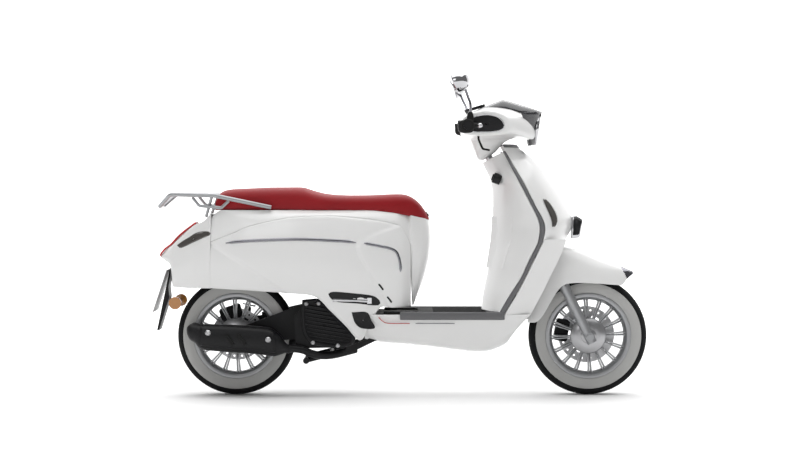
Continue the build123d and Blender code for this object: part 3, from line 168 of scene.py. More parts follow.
def leather(name, colour):
    """Grained leather: the cells of a Voronoi pattern raised a little, over broad soft folds."""
    material = surface(name, colour, rough=0.5, vary=0.12, shine=0.25)
    tree = material.node_tree
    cells = tree.nodes.new("ShaderNodeTexVoronoi")
    cells.feature = "DISTANCE_TO_EDGE"
    cells.inputs["Scale"].default_value = 420.0
    tree.links.new(tree.nodes["Texture Coordinate"].outputs["Object"], cells.inputs["Vector"])
    folds = add_noise(tree, 26.0, 8.0)
    total = tree.nodes.new("ShaderNodeMath")
    total.operation = "MULTIPLY_ADD"
    total.inputs[1].default_value = 3.0
    tree.links.new(folds.outputs["Fac"], total.inputs[0])
    tree.links.new(cells.outputs["Distance"], total.inputs[2])
    add_bump(tree, total.outputs["Value"], 0.35, 0.0012)
    return material


def clear(name, colour, alpha):
    """A tinted clear plastic or glass."""
    material = surface(name, colour, rough=0.05, coat=0.6, vary=0.03)
    material.node_tree.nodes["Principled BSDF"].inputs["Alpha"].default_value = alpha
    return material


def make_sheet(name, corners, material):
    """A flat four-cornered sheet of the surroundings."""
    mesh = bpy.data.meshes.new(name)
    mesh.from_pydata(corners, [], [(0, 1, 2, 3)])
    mesh.materials.append(material)
    sheet = bpy.data.objects.new(name, mesh)
    bpy.context.scene.collection.objects.link(sheet)
    return sheet


def pale_floor_paint():
    """White floor paint that glows more and more away from the scooter, so that its far edge doesn't show."""
    paint = surface("pale_floor", (0.95, 0.95, 0.95), rough=0.8, vary=0.0)
    tree = paint.node_tree
    shader = tree.nodes["Principled BSDF"]
    far = tree.nodes.new("ShaderNodeVectorMath")
    far.operation = "LENGTH"
    tree.links.new(tree.nodes["Texture Coordinate"].outputs["Object"], far.inputs[0])
    lift = add_node(tree, "ShaderNodeMapRange", {"From Min": 1.8, "From Max": 7.0, "To Max": 0.7})
    tree.links.new(far.outputs["Value"], lift.inputs["Value"])
    shader.inputs["Emission Color"].default_value = (1, 1, 1, 1)
    tree.links.new(lift.outputs["Result"], shader.inputs["Emission Strength"])
    return paint


def white_wall_paint():
    """An evenly lit white."""
    paint = bpy.data.materials.new("white_wall")
    paint.use_nodes = True
    shader = paint.node_tree.nodes["Principled BSDF"]
    shader.inputs["Emission Color"].default_value = (1, 1, 1, 1)
    shader.inputs["Emission Strength"].default_value = 1.05
    return paint


pearl = surface(
    "pearl_paint", (0.75, 0.75, 0.745), rough=0.3, coat=0.5, shine=0.35, bump=0.02, scale=900.0, vary=0.012,
)
grey_trim = surface("grey_trim", (0.115, 0.115, 0.12), rough=0.42, bump=0.15, scale=1400.0)
black_plastic = surface(
    "black_plastic", (0.010, 0.010, 0.011), rough=0.45, shine=0.25, bump=0.2, scale=1200.0,
)
rubber = surface("rubber", (0.012, 0.012, 0.012), rough=0.75, shine=0.2, bump=0.3, scale=800.0)
tyre_black = surface(
    "tyre_rubber", (0.010, 0.010, 0.011), rough=0.8, shine=0.12, bump=0.35, scale=500.0, vary=0.2,
)
whitewall = surface("whitewall", (0.42, 0.42, 0.41), rough=0.6, bump=0.2, scale=600.0)
silver = surface(
    "silver_paint", (0.33, 0.335, 0.345), rough=0.33, metal=0.6, bump=0.08, scale=1200.0, coat=0.3,
)
hub_silver = surface("hub_silver", (0.42, 0.42, 0.43), rough=0.3, metal=0.85, vary=0.05)
steel = surface("steel", (0.52, 0.52, 0.53), rough=0.32, metal=0.95, bump=0.1, scale=700.0)
chrome = surface("chrome", (0.52, 0.52, 0.535), rough=0.09, metal=1.0, vary=0.02)
smoke_chrome = surface("smoke_chrome", (0.22, 0.22, 0.24), rough=0.14, metal=1.0, vary=0.04)
frame_black = surface("frame_black", (0.010, 0.010, 0.011), rough=0.4, shine=0.22, bump=0.08, scale=900.0)
engine_black = surface("engine_black", (0.012, 0.012, 0.013), rough=0.5, shine=0.2, bump=0.4, scale=350.0)
red_leather = leather("red_leather", (0.25, 0.005, 0.009))
red_lens = clear("red_lens", (0.50, 0.008, 0.01), alpha=0.96)
amber_lens = clear("amber_lens", (0.42, 0.17, 0.03), alpha=0.96)
dark_lens = clear("dark_lens", (0.06, 0.055, 0.05), alpha=0.97)
smoke_glass = clear("smoke_glass", (0.03, 0.03, 0.034), alpha=0.9)
lamp_glass = clear("lamp_glass", (0.75, 0.77, 0.79), alpha=0.30)
plate_paint = surface("plate_paint", (0.62, 0.62, 0.62), rough=0.4, bump=0.05)
red_paint = surface("red_paint", (0.42, 0.01, 0.012), rough=0.3, coat=0.5)
mirror_glass = surface("mirror_glass", (0.85, 0.86, 0.88), rough=0.02, metal=1.0, vary=0.01)

NODE_MATERIALS = {
    "pearl_white": pearl,
    "trim_grey": grey_trim,
    "black_plastic": black_plastic,
    "rubber_black": rubber,
    "tyre_black": tyre_black,
    "rim_silver": silver,
    "steel": steel,
    "chrome": chrome,
    "frame_black": frame_black,
    "engine_black": engine_black,
    "seat_leather": red_leather,
    "seat_tray": black_plastic,
    "rack_silver": silver,
    "lens_red": red_lens,
    "lens_amber": amber_lens,
    "lamp_glass": lamp_glass,
    "smoke_screen": smoke_glass,
    "plate_white": plate_paint,
    "fluid_hose": rubber,
    "silver_paint": silver,
    "tank_plastic": black_plastic,
}


# The material, body and slot of the painted bodywork, and how its shells are finished.
PAINTED = (pearl, "chassis", "pearl_white")


SHELL = {"solid": 0.004, "bevel": 0.001, "sub": 1}


def paint_nodes():
    """Every CAD node gets the finish of its record slot."""
    slots = {part["node"]: part["material_slot"] for part in frame["record"]["subparts"]}
    for name, node in nodes.items():
        finish = NODE_MATERIALS[slots[name]]
        if not node.material_slots:
            node.data.materials.append(finish)
        for place in node.material_slots:
            place.material = finish


# ---------------------------------------------------------------- mesh helpers
def piece(name, vertices, faces, material):
    """A new mesh object with smooth shading, in a material slot."""
    mesh = bpy.data.meshes.new(name)
    mesh.from_pydata([tuple(v) for v in vertices], [], faces)
    mesh.update()
    mesh.polygons.foreach_set("use_smooth", [True] * len(mesh.polygons))
    made = bpy.data.objects.new(name, mesh)
    bpy.context.scene.collection.objects.link(made)
    mesh.materials.append(material)
    return made


def settle(made, body, solid=0.0, bevel=0.0, sub=0):
    """Adds thickness, rounded edges and subdivision, then sets the piece on its body."""
    if solid:
        thick = made.modifiers.new("thickness", "SOLIDIFY")
        thick.thickness = solid
        thick.offset = -1.0
    if bevel:
        soft = made.modifiers.new("edges", "BEVEL")
        soft.width = bevel
        soft.segments = 2
        soft.limit_method = "ANGLE"
        soft.angle_limit = math.radians(40)
    if sub:
        divide = made.modifiers.new("smooth", "SUBSURF")
        divide.levels = sub
        divide.render_levels = sub
    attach(made, body)
    return made


def side_name(name, side, sides):
    """A piece's name, with its side added when it has a twin."""
    if len(sides) == 1:
        return name
    return name + ("_right" if side > 0 else "_left")


def both_sides(place, right):
    """A row through points (x, z, half width) on the right, carried over to the left."""
    line = [place(x, z, -y) for x, z, y in right]
    return line + [place(x, z, y) for x, z, y in reversed(right[:-1])]


def squared(value, power):
    """A sine or cosine drawn towards the side of a square, with its sign kept."""
    return math.copysign(abs(value) ** power, value)


def at_line(line, x):
    """A line's height over x, along straight runs."""
    xs, zs = zip(*line)
    return float(np.interp(x, xs, zs))


def grid_faces(rows, columns, closed_columns=False, closed_rows=False):
    """Quads between the points of a grid stored row by row."""
    faces = []
    for r in range(rows if closed_rows else rows - 1):
        for c in range(columns if closed_columns else columns - 1):
            a = r * columns + c
            b = r * columns + (c + 1) % columns
            d = (r + 1) % rows * columns + c
            e = (r + 1) % rows * columns + (c + 1) % columns
            faces.append((a, b, e, d))
    return faces


def mirrored(faces):
    """The faces turned over, for a copy on the other side."""
    return [tuple(reversed(face)) for face in faces]


def smooth_curve(points, count):
    """A Catmull-Rom curve through points, read at count even places along it."""
    pts = np.array(points, float)
    padded = np.vstack([2 * pts[0] - pts[1], pts, 2 * pts[-1] - pts[-2]])
    fine = []
    for i in range(1, len(padded) - 2):
        p0, p1, p2, p3 = padded[i - 1 : i + 3]
        for t in np.linspace(0, 1, 24, endpoint=False):
            square = (2 * p0 - 5 * p1 + 4 * p2 - p3) * t**2
            cube = (3 * p1 - p0 - 3 * p2 + p3) * t**3
            fine.append(0.5 * (2 * p1 + (p2 - p0) * t + square + cube))
    fine.append(padded[-2])
    fine = np.array(fine)
    run = np.concatenate([[0], np.cumsum(np.linalg.norm(np.diff(fine, axis=0), axis=1))])
    even = np.linspace(0, run[-1], count)
    return np.column_stack([np.interp(even, run, fine[:, k]) for k in range(fine.shape[1])])


def turned_over(vertices, faces, facing):
    """Whether the faces look away from a direction, or inward where it is None."""
    pts = np.array([tuple(v) for v in vertices])
    a, b, c, d = (pts[np.array(faces)[:, k]] for k in range(4))
    normals = np.cross(c - a, d - b)
    middles = (a + b + c + d) / 4
    away = middles - pts.mean(axis=0) if facing is None else np.array(facing, float)
    return float((normals * away).sum()) < 0


def skin(name, rows, material, body, slot, sides=(1,), closed=False, facing=None, **finish):
    """A surface through rows of points; sides are 1 as given and -1 for its mirror image."""
    made = []
    points = [p for row in rows for p in row]
    faces = grid_faces(len(rows), len(rows[0]), closed_columns=closed)
    flip = turned_over(points, faces, facing)
    for side in sides:
        vertices = [(p[0], p[1] * side, p[2]) for p in points]
        turned_faces = mirrored(faces) if (side < 0) != flip else faces
        new = piece(side_name(name, side, sides), vertices, turned_faces, material)
        made.append(settle(new, body, **finish))
    return made


def tube(name, points, radius, material, body, sides=(1,), resolution=10, smooth=True):
    """A round tube along points."""
    made = []
    for side in sides:
        data = bpy.data.curves.new(name, "CURVE")
        data.dimensions = "3D"
        data.bevel_depth = radius
        data.bevel_resolution = 5
        data.use_fill_caps = True
        spline = data.splines.new("NURBS" if smooth else "POLY")
        spline.points.add(len(points) - 1)
        for target, p in zip(spline.points, points):
            target.co = (p[0], p[1] * side, p[2], 1)
        if smooth:
            spline.order_u = 3
            spline.use_endpoint_u = True
            spline.resolution_u = resolution
        made.append(bpy.data.objects.new(side_name(name, side, sides), data))
        bpy.context.scene.collection.objects.link(made[-1])
        data.materials.append(material)
        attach(made[-1], body)
    return made


def turned(name, centre, axis, profile, material, body, slot, segments=96, closed=False, **finish):
    """A surface of revolution: profile gives distance along the axis and radius, in metres."""
    axis = Vector(axis).normalized()
    across = axis.orthogonal().normalized()
    other = axis.cross(across)
    vertices = []
    for s in range(segments):
        angle = 2 * math.pi * s / segments
        way = across * math.cos(angle) + other * math.sin(angle)
        for along, radius in profile:
            vertices.append(Vector(centre) + axis * along + way * radius)
    faces = grid_faces(segments, len(profile), closed_columns=closed, closed_rows=True)
    return settle(piece(name, vertices, faces, material), body, **finish)


def block(name, outline, inner, outer, material, body, slot, sides=(1,), **finish):
    """A side-view outline made solid between two distances to the right, in metres."""
    made = []
    count = len(outline)
    faces = [tuple(range(count)), tuple(range(2 * count - 1, count - 1, -1))]
    faces += [(i, i + count, (i + 1) % count + count, (i + 1) % count) for i in range(count)]
    for side in sides:
        vertices = [(p[0], -out * side, p[2]) for out in (inner, outer) for p in outline]
        solid = piece(side_name(name, side, sides), vertices, faces, material)
        work = bmesh.new()
        work.from_mesh(solid.data)
        bmesh.ops.recalc_face_normals(work, faces=work.faces)
        work.to_mesh(solid.data)
        work.free()
        made.append(settle(solid, body, **finish))
    return made


# ---------------------------------------------------------------- rear body
SEAT_LINE = 487.0
PANEL = [
    # x, lower edge, upper edge, half widths low, at the waist and high, from the rear axle
    (-93, 189, 364, 146, 162, 150),
    (0, 184, 400, 162, 178, 164),
    (64, 181, 426, 174, 190, 172),
    (197, 172, 456, 182, 201, 178),
    (306, 160, 464, 184, 203, 178),
    (367, 105, 465, 178, 205, 178),
    (424, 48, 462, 166, 203, 176),
    (480, -9, 456, 156, 199, 172),
    (520, 54, 451, 166, 194, 168),
    (556, 116, 446, 172, 186, 162),
    (606, 116, 434, 158, 170, 152),
    (640, 117, 419, 140, 152, 138),
    (674, 118, 352, 104, 108, 106),
]
SOFT_PANEL = smooth_curve(PANEL, 400)


def at_table(table, x):
    """A station table read at x along straight runs."""
    columns = np.array(table, float)
    return [float(np.interp(x, columns[:, 0], columns[:, k])) for k in range(1, columns.shape[1])]


def upper_path():
    """Plan of the band under the seat: from the rear right, round the front, lower and upper points."""
    path = []
    for x in np.linspace(-93, 662, 46):
        _, upper, _, _, high = at_table(SOFT_PANEL, x)
        rise = min(SEAT_LINE, at_line(SEAT_LOW, x) + 5, 452 + (x + 93) * 1.2)
        path.append(((x, upper + 1.5, high + 0.5), (x, rise, 140 + min(0.0, (high - 172) * 0.9))))
    corner_low = [
        (
            668, 340, 106,
        ), (676, 220, 104), (680, 150, 96), (682, 122, 80), (683, 118, 54), (684, 118, 27), (684, 118, 0),
    ]
    corner_top = [
        (
            676, 466, 112,
        ), (700, 460, 98), (720, 456, 82), (733, 453, 64), (740, 451, 44), (744, 450, 22), (745, 450, 0),
    ]
    return path + list(zip(corner_low, corner_top))


def make_upper_band():
    """The band between the side panels and the seat, closed by the column at the front."""
    front_bulge, side_bulge = 26, 6
    half = []
    for low, top in upper_path():
        round_front = min(1.0, max(0.0, (106 - low[2]) / 30))
        row = []
        for t in np.linspace(0, 1, 12):
            arch = 4 * t * (1 - t)
            x = low[0] + (top[0] - low[0]) * t + front_bulge * arch * round_front * (0.75 + 0.5 * t)
            z = low[1] + (top[1] - low[1]) * t
            y = low[2] + (top[2] - low[2]) * t + side_bulge * arch * (1 if low[2] > 60 else 0.3)
            row.append((x, z, y))
        half.append(row)
    right = [[aft(x, z, -y) for x, z, y in row] for row in half]
    left = [[aft(x, z, y) for x, z, y in row] for row in reversed(half[:-1])]
    (made,) = skin("seat_band", right + left, *PAINTED, solid=0.004, bevel=0.0012, sub=1)
    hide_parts("seat_column")


TAIL = [
    # x, lower edge, top, half widths low, at the waist and on top
    (-287, 302, 312, 58, 60, 44),
    (-270, 292, 326, 74, 78, 58),
    (-248, 277, 343, 90, 96, 72),
    (-240, 192, 352, 94, 104, 78),
    (-200, 189, 388, 108, 122, 90),
    (-157, 188, 428, 122, 142, 104),
    (-119, 188, 441, 134, 152, 116),
    (-91, 188, 472, 146, 162, 128),
]


def bellied(low, waist, top, t):
    """Half width at a share of the height, between the lower edge, the waist and the top."""
    return low + (top - low) * t + (waist - (low + top) / 2) * 4 * t * (1 - t)


def make_tail():
    """The tail cover behind the side panels."""
    rows = []
    for x in (
        -287, -280, -268, -256, -249, -245, -240, -228, -210, -190, -170, -157, -140, -125, -112, -100, -91,
    ):
        lower, upper, low, waist, top = at_table(TAIL, x)
        right = []
        for t in np.linspace(0, 1, 12):
            z = lower + (upper - lower) * t
            hollow = 8 * step(364 - z, 20) * step(x + 130, 90)
            right.append((x, z, bellied(low, waist, top, t) - hollow))
        right += [(x, upper + 2 * math.cos(a), top * math.cos(a)) for a in np.linspace(0.35, math.pi / 2, 5)]
        rows.append(both_sides(aft, right))
    (made,) = skin("tail_shell", rows, *PAINTED, **SHELL)
    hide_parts("tail_cover")


# ---------------------------------------------------------------- front body
APRON = [
    # height, rear middle, rear side, trim side, nose side, nose middle, half width, from the front axle
    (78, -415, -360, -334, -236, -274, 176),
    (100, -413, -352, -324, -224, -274, 178),
    (171, -405, -311, -282, -186, -270, 188),
    (231, -393, -272, -251, -158, -266, 195),
    (291, -383, -245, -222, -128, -262, 201),
    (340, -374, -220, -198, -108, -100, 204),
    (371, -371, -207, -184, -97, -83, 205),
    (435, -366, -202, -178, -88, -55, 205),
    (511, -370, -236, -216, -122, -83, 198),
    (591, -376, -277, -255, -175, -135, 178),
    (661, -407, -313, -295, -232, -188, 140),
    (700, -418, -332, -314, -262, -232, 112),
    (735, -430, -352, -335, -290, -276, 84),
]


SOFT_APRON = smooth_curve(APRON, 500)


NOSE_BOW = 0.42


def apron_at(z):
    """The apron's station values at a height, along a smooth curve."""
    return at_table(SOFT_APRON, z)


def arc_between(start, end, bow, count):
    """Points from start to end in plan, bowed outwards (0 straight, 1 square)."""
    (x0, y0), (x1, y1) = start, end
    bend_x = (x0 + x1) / 2 * (1 - bow) + x1 * bow
    bend_y = (y0 + y1) / 2 * (1 - bow) + y0 * bow
    points = []
    for t in np.linspace(0, 1, count):
        first, mid, last = (1 - t) ** 2, 2 * t * (1 - t), t**2
        points.append((first * x0 + mid * bend_x + last * x1, first * y0 + mid * bend_y + last * y1))
    return points


def make_inner_shield():
    """The rider's side of the leg shield, hollowed towards the middle and raised at its top corners."""
    corner_rise = 46
    rows = []
    for z in np.linspace(100, 668, 36):
        back, back_side, _, _, _, half = apron_at(z)
        share = step(z - 640, 60)
        right = []
        for x, y in arc_between((back_side, half), (back, 0), 0.35, 12):
            height = z + corner_rise * share * (y / half) ** 1.5
            right.append((x, height, y * (1 - 0.35 * share * (y / half) ** 2)))
        rows.append(both_sides(fore, right))
    (made,) = skin("shield_back", rows, *PAINTED, facing=(-1, 0, 0), **SHELL)
    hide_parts("inner_shield")


def make_leg_shield():
    """The outer leg shield with its nose ridge, and the two wings beside the wheel."""
    rows = []
    for z in np.linspace(371, 735, 26):
        _, _, trim_side, _, nose, half = apron_at(z)
        arc = arc_between((trim_side, half), (nose, 0), NOSE_BOW, 14)
        rows.append(both_sides(fore, [(x, z, y) for x, y in arc]))
    shield = skin("shield_front", rows, *PAINTED, facing=(1, 0, 0), **SHELL)
    rows = []
    for z in np.linspace(80, 376, 20):
        _, _, trim_side, nose_side, _, half = apron_at(z)
        arc = arc_between((trim_side, half), (nose_side, half - 20), 0.5, 6)
        rows.append([fore(x, z, -y) for x, y in arc])
    wings = skin("shield_wing", rows, *PAINTED, sides=(1, -1), facing=(0.3, -1, 0), **SHELL)
    for made in shield + wings:
        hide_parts("leg_shield")


def make_trim():
    """The grey band along the shield's edges and the floor's sides."""
    edge = []
    for z in np.linspace(80, 712, 42):
        _, back, front, _, _, half = apron_at(z)
        row = [(back + 3, -3), (back + 6, 0.5), ((back + front) / 2, 2), (front - 6, 0.5), (front - 3, -3)]
        edge.append([fore(x, z, -(half + out)) for x, out in row])
    section = [(101, 176), (99, 180), (86, 182), (73, 181), (70, 176)]
    sill = [[fore(x, z, -y) for z, y in section] for x in np.linspace(-330, -727, 26)]
    for name, rows in (("edge_band", edge), ("sill_band", sill)):
        for made in skin(name, rows, grey_trim, "chassis", "trim_grey", sides=(1, -1), sub=1):
            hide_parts("shield_trim")


FENDER = [
    # x, lower edge, top, half widths low, at the side and on top, from the front axle
    (-238, 54, 168, 94, 96, 62),
    (-226, 56, 240, 102, 104, 72),
    (-203, 58, 288, 108, 110, 80),
    (-176, 90, 318, 112, 112, 86),
    (-149, 139, 338, 113, 112, 84),
    (-122, 181, 345, 113, 112, 78),
    (-95, 203, 347, 113, 111, 72),
    (-34, 208, 332, 109, 104, 56),
    (43, 204, 303, 98, 94, 42),
    (100, 199, 281, 80, 76, 30),
    (128, 199, 270, 66, 62, 24),
    (151, 222, 259, 46, 44, 16),
    (176, 240, 248, 14, 12, 8),
]


def make_fender():
    """The deep front fender, with a flared lower edge and a dark tip."""
    flare, tip_start, tip_top = 3.0, 124, 270
    rows = []
    soft = smooth_curve(FENDER, 500)
    stations = [np.linspace(-237, -120, 12), np.linspace(-110, 118, 20), np.linspace(122, 176, 19)]
    for x in np.concatenate(stations):
        lower, upper, low, side, _ = at_table(soft, x)
        power = 0.26 + 0.30 * step(x + 20, 150)
        right = []
        for t in np.linspace(0, 1, 16):
            angle = t * math.pi / 2
            z = lower + (upper - lower) * (0.35 * t + 0.65 * math.sin(angle))
            y = (low + (side - low) * t) * (math.cos(angle) ** power if t < 1 else 0)
            right.append((x, z, y + flare * max(0.0, 1 - t * 9)))
        rows.append(both_sides(fore, right))
    (made,) = skin("fender_shell", rows, pearl, "steering", "pearl_white", solid=0.003, bevel=0.001, sub=1)
    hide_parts("front_fender")
    made.data.materials.append(smoke_chrome)
    for face in made.data.polygons:
        ahead = (face.center.x - front_axle.x) / MM
        height = (face.center.z - axle_z) / MM
        if ahead - tip_start > (tip_top - height) * 0.5:
            face.material_index = 1


FLOOR = [
    # x, underside, half widths at the bottom and the waist, from the front axle
    (-876, -8, 124, 160),
    (-800, -26, 138, 170),
    (-723, -31, 146, 173),
    (-600, -44, 146, 175),
    (-461, -61, 142, 175),
    (-400, -62, 138, 174),
    (-366, -54, 134, 172),
    (-330, -38, 126, 170),
    (-302, -20, 120, 170),
    (-279, 5, 116, 170),
    (-260, 36, 120, 172),
    (-245, 62, 130, 174),
    (-232, 84, 150, 176),
]


def make_floor():
    """The floor's skirt, curved under between the two sides and drawn back in its middle by the wheel."""
    top, half = 90, 178
    rows = []
    soft = smooth_curve(FLOOR, 400)
    for station in np.linspace(-862, -232, 44):
        low, _, waist = at_table(soft, station)
        pull = max(0.0, station + 312) * 1.15
        right = []
        for t in np.linspace(0, 1, 16):
            angle = t * math.pi / 2
            z = top - (top - low) * (0.25 * t + 0.75 * math.sin(angle) ** 1.6)
            y = (half - (half - waist) * t) * (math.cos(angle) ** 0.35 if t < 1 else 0)
            right.append((station - pull * max(0.0, 1 - (y / 150) ** 2), z, y))
        rows.append(both_sides(fore, right))
    (made,) = skin("floor_skirt", rows, *PAINTED, facing=(0, 0, -1), **SHELL)
    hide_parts("floor_fairing")


# ---------------------------------------------------------------- headset
# Side-view rings of the headset cover, from the front axle: BACK_AND_TOP is common to the first two.
BACK_AND_TOP = [
    (-485, 766), (-496, 800), (-494, 843), (-458, 861), (-419, 874), (-381, 883), (-323, 881), (-273, 868),
    (-226, 842), (-208, 800), (-212, 756),
]


NECK_RING = [
    *BACK_AND_TOP,
    (-265, 766), (-300, 760), (-328, 744), (-352, 716), (-381, 692), (-419, 676), (-440, 715), (-458, 757),
]
BROAD_RING = [
    *BACK_AND_TOP,
    (-265, 764), (-292, 761), (-320, 758), (-345, 756), (-381, 755), (-419, 756), (-442, 757), (-462, 759),
]
END_RING = [
    (-487, 778), (-492, 806), (-488, 835), (-464, 852), (-434, 860), (-402, 864), (-366, 860), (-336, 849),
    (-316, 832), (-306, 812), (-308, 792), (-322, 780), (-340, 774), (-360, 771), (-380, 769), (-402, 768),
    (-425, 768), (-446, 769), (-468, 772),
]


COWL_MIDDLE = np.array([-400.0, 812.0])


def cowl_ring(y, shrink=1.0):
    """The headset cover's ring at a distance from the middle."""
    narrow = step(abs(y) - 52, 44)
    blend = min(1.0, max(0.0, (abs(y) - 58) / 134)) ** 1.2
    neck, broad, end = (np.array(shape, float) for shape in (NECK_RING, BROAD_RING, END_RING))
    ring = neck * (1 - narrow) + broad * narrow
    ring = ring * (1 - blend) + end * blend
    ring = smooth_curve([*ring, ring[0]], 65)[:-1]
    return COWL_MIDDLE + (ring - COWL_MIDDLE) * shrink


def make_cowl():
    """The headset cover: a neck at the middle, drawn in towards both grips, with a dark socket at each end."""
    ends = [(-196, 0.30), (-196, 0.66), (-197, 0.86), (-195, 0.95)]
    slices = ends + [(y, 1.0) for y in np.linspace(
        -190, 190, 41,
    )] + [(-y, shrink) for y, shrink in reversed(ends)]
    rows = [[fore(x, z, y) for x, z in cowl_ring(y, shrink)] for y, shrink in slices]
    (made,) = skin("headset_shell", rows, pearl, "steering", "pearl_white", closed=True, sub=1)
    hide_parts("headset_cowl")
    sunk = ((-198, 0.70), (-198.5, 0.62), (-198.5, 0.05))
    socket = [[fore(x, z, y) for x, z in cowl_ring(196, shrink)] for y, shrink in sunk]
    skin("headset_socket", socket, black_plastic, "steering", "black_plastic", sides=(1, -1), closed=True)
    rim = [fore(x, z, -198) for x, z in cowl_ring(196, 0.69)]
    tube("socket_rim", rim + rim[:1], 0.0022, chrome, "steering", sides=(1, -1), smooth=False)


def make_screen():
    """The smoked screen over the headset, and the smoked beak round the headlight."""
    skirt = [(-425, 868), (-381, 878), (-323, 873), (-273, 860), (-219, 836), (-177, 846)]
    arc = smooth_curve([(-425, 874), (-378, 895), (-340, 909), (-322, 911), (-250, 890), (-177, 866)], 22)
    rows = []
    for k, (x, z) in enumerate(arc):
        half = 60 + 40 * math.sin(math.pi * min(1.0, 0.15 + k / 24)) - 18 * max(0, k - 14) / 8
        drop = z - at_line(skirt, x)
        row = []
        for y in np.linspace(-half, half, 21):
            row.append(fore(x - 6 * (y / half) ** 2, z - drop * abs(y / half) ** 4, y))
        rows.append(row)
    (made,) = skin(
        "smoked_screen", rows, smoke_glass, "steering", "smoke_screen", facing=(0, 0, 1), solid=0.003,
    )
    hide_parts("flyscreen")
    rows = []
    for k, (x, z) in enumerate(smooth_curve([(-178, 864), (-184, 820), (-190, 780), (-197, 738)], 14)):
        t = k / 13
        half = 124 - 58 * t
        back = -258 + 40 * t + 6 * math.sin(math.pi * t)
        row = []
        for y in np.linspace(-half, half, 19):
            u = abs(y) / half
            row.append(fore(x - 8 + 8 * (1 - u**2) - (x - back) * u**2.4, z - 4 * u**2, y))
        rows.append(row)
    skin("headlight_beak", rows, smoke_glass, "steering", "smoke_screen", facing=(1, 0, 0), solid=0.003)


# ---------------------------------------------------------------- wheels
def make_tyre(name, centre, width, body, node):
    """A tyre with a rounded tread, and a pale band on its side walls."""
    half = width / 2 * MM
    radius = tyre_radius
    profile = []
    for t in np.linspace(0, math.pi, 41):
        y = -math.cos(t)
        r = 0.1655 + (radius - 0.1655) * (math.sin(t) ** 0.62)
        w = half * (abs(y) ** 0.9) * (0.76 + 0.24 * math.sin(t) ** 0.5) * (1 if y > 0 else -1)
        profile.append((w, min(r, radius)))
    made = turned(name, centre, (0, 1, 0), profile, tyre_black, body, "tyre_black", segments=128)
    made.data.materials.append(whitewall)
    work = bmesh.new()
    work.from_mesh(made.data)
    for face in work.faces:
        spot = face.calc_center_median()
        reach = math.hypot(spot.x - centre.x, spot.z - centre.z)
        if 0.1655 < reach < 0.2025 and abs(spot.y) > half * 0.55:
            face.material_index = 1
    work.to_mesh(made.data)
    work.free()
    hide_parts(node)


def make_rim(name, centre, body, node):
    """A cast rim: lip, barrel, hub and pairs of thin spokes."""
    pairs, hub_radius, lip_radius, stations = 16, 0.060, 0.1455, 6
    lip = [
        (-0.0435, 0.150), (
            -0.0445, 0.1645,
        ), (-0.0415, 0.1652), (-0.038, 0.1635), (-0.036, 0.156), (-0.030, 0.150),
        (
            -0.022, 0.1465,
        ), (0.022, 0.1465), (0.036, 0.156), (0.0415, 0.1652), (0.0445, 0.1645), (0.0435, 0.150),
        (0.034, 0.1445), (0.020, 0.141), (-0.012, 0.138), (-0.030, 0.143),
    ]
    hub = [
        (-0.030, 0.0), (-0.030, 0.062), (-0.024, 0.068), (0.016, 0.064), (0.030, 0.046), (0.043, 0.040),
        (0.043, 0.0),
    ]
    cap = [
        (-0.030, 0.069), (
            -0.036, 0.0695,
        ), (-0.040, 0.066), (-0.047, 0.048), (-0.050, 0.040), (-0.0495, 0.030),
        (-0.053, 0.026), (-0.054, 0.0),
    ]
    way = (0, 1, 0)
    made = [
        turned(name + "_barrel", centre, way, lip, silver, body, "rim_silver", closed=True, bevel=0.0006),
        turned(name + "_hub", centre, way, hub, silver, body, "rim_silver", bevel=0.001),
        turned(name + "_cap", centre, way, cap, hub_silver, body, "rim_silver", bevel=0.0006),
    ]
    vertices, faces = [], []
    for k in range(pairs):
        angle = math.radians(3.3 + 360 / pairs * k)
        outward = Vector((math.cos(angle), 0, math.sin(angle)))
        turn = Vector((-math.sin(angle), 0, math.cos(angle)))
        for shift in (-1, 1):
            base = len(vertices)
            for t in np.linspace(0, 1, stations):
                reach = hub_radius + (lip_radius - hub_radius) * t
                spread = shift * (0.0030 + 0.0022 * t)
                y = -0.030 - 0.006 * math.sin(t * math.pi) + 0.001 * t
                wide = 0.0018 + 0.0010 * t
                deep = Vector((0, 0.016 + 0.006 * t, 0))
                start = Vector(centre) + outward * reach + turn * spread + Vector((0, y, 0))
                vertices += [start - turn * wide, start + turn * wide]
                vertices += [start + turn * wide * 1.6 + deep, start - turn * wide * 1.6 + deep]
            faces += [tuple(base + i for i in face) for face in grid_faces(stations, 4, closed_columns=True)]
    made.append(settle(piece(name + "_spokes", vertices, faces, silver), body, bevel=0.0006))
    for part in made:
        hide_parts(node)


# ---------------------------------------------------------------- seat


# The seat's lines over the rear axle's x: top, lower edge, and half width in plan.
SEAT_TOP = [
    (
        -74, 525,
    ), (-61, 551), (-38, 565), (16, 568), (132, 573), (247, 574), (263, 573), (293, 561), (332, 551),
    (
        382, 545,
    ), (440, 543), (517, 544), (594, 548), (632, 549), (663, 543), (690, 528), (713, 507), (732, 478),
    (746, 452),
]


SEAT_LOW = [(-72, 487), (440, 487), (556, 481), (632, 472), (708, 456), (746, 449)]


SEAT_PLAN = [
    (-80, 112), (-60, 118), (0, 124), (140, 132), (320, 147), (450, 146), (560, 138), (640, 122), (700, 96),
    (728, 72), (744, 44),
]


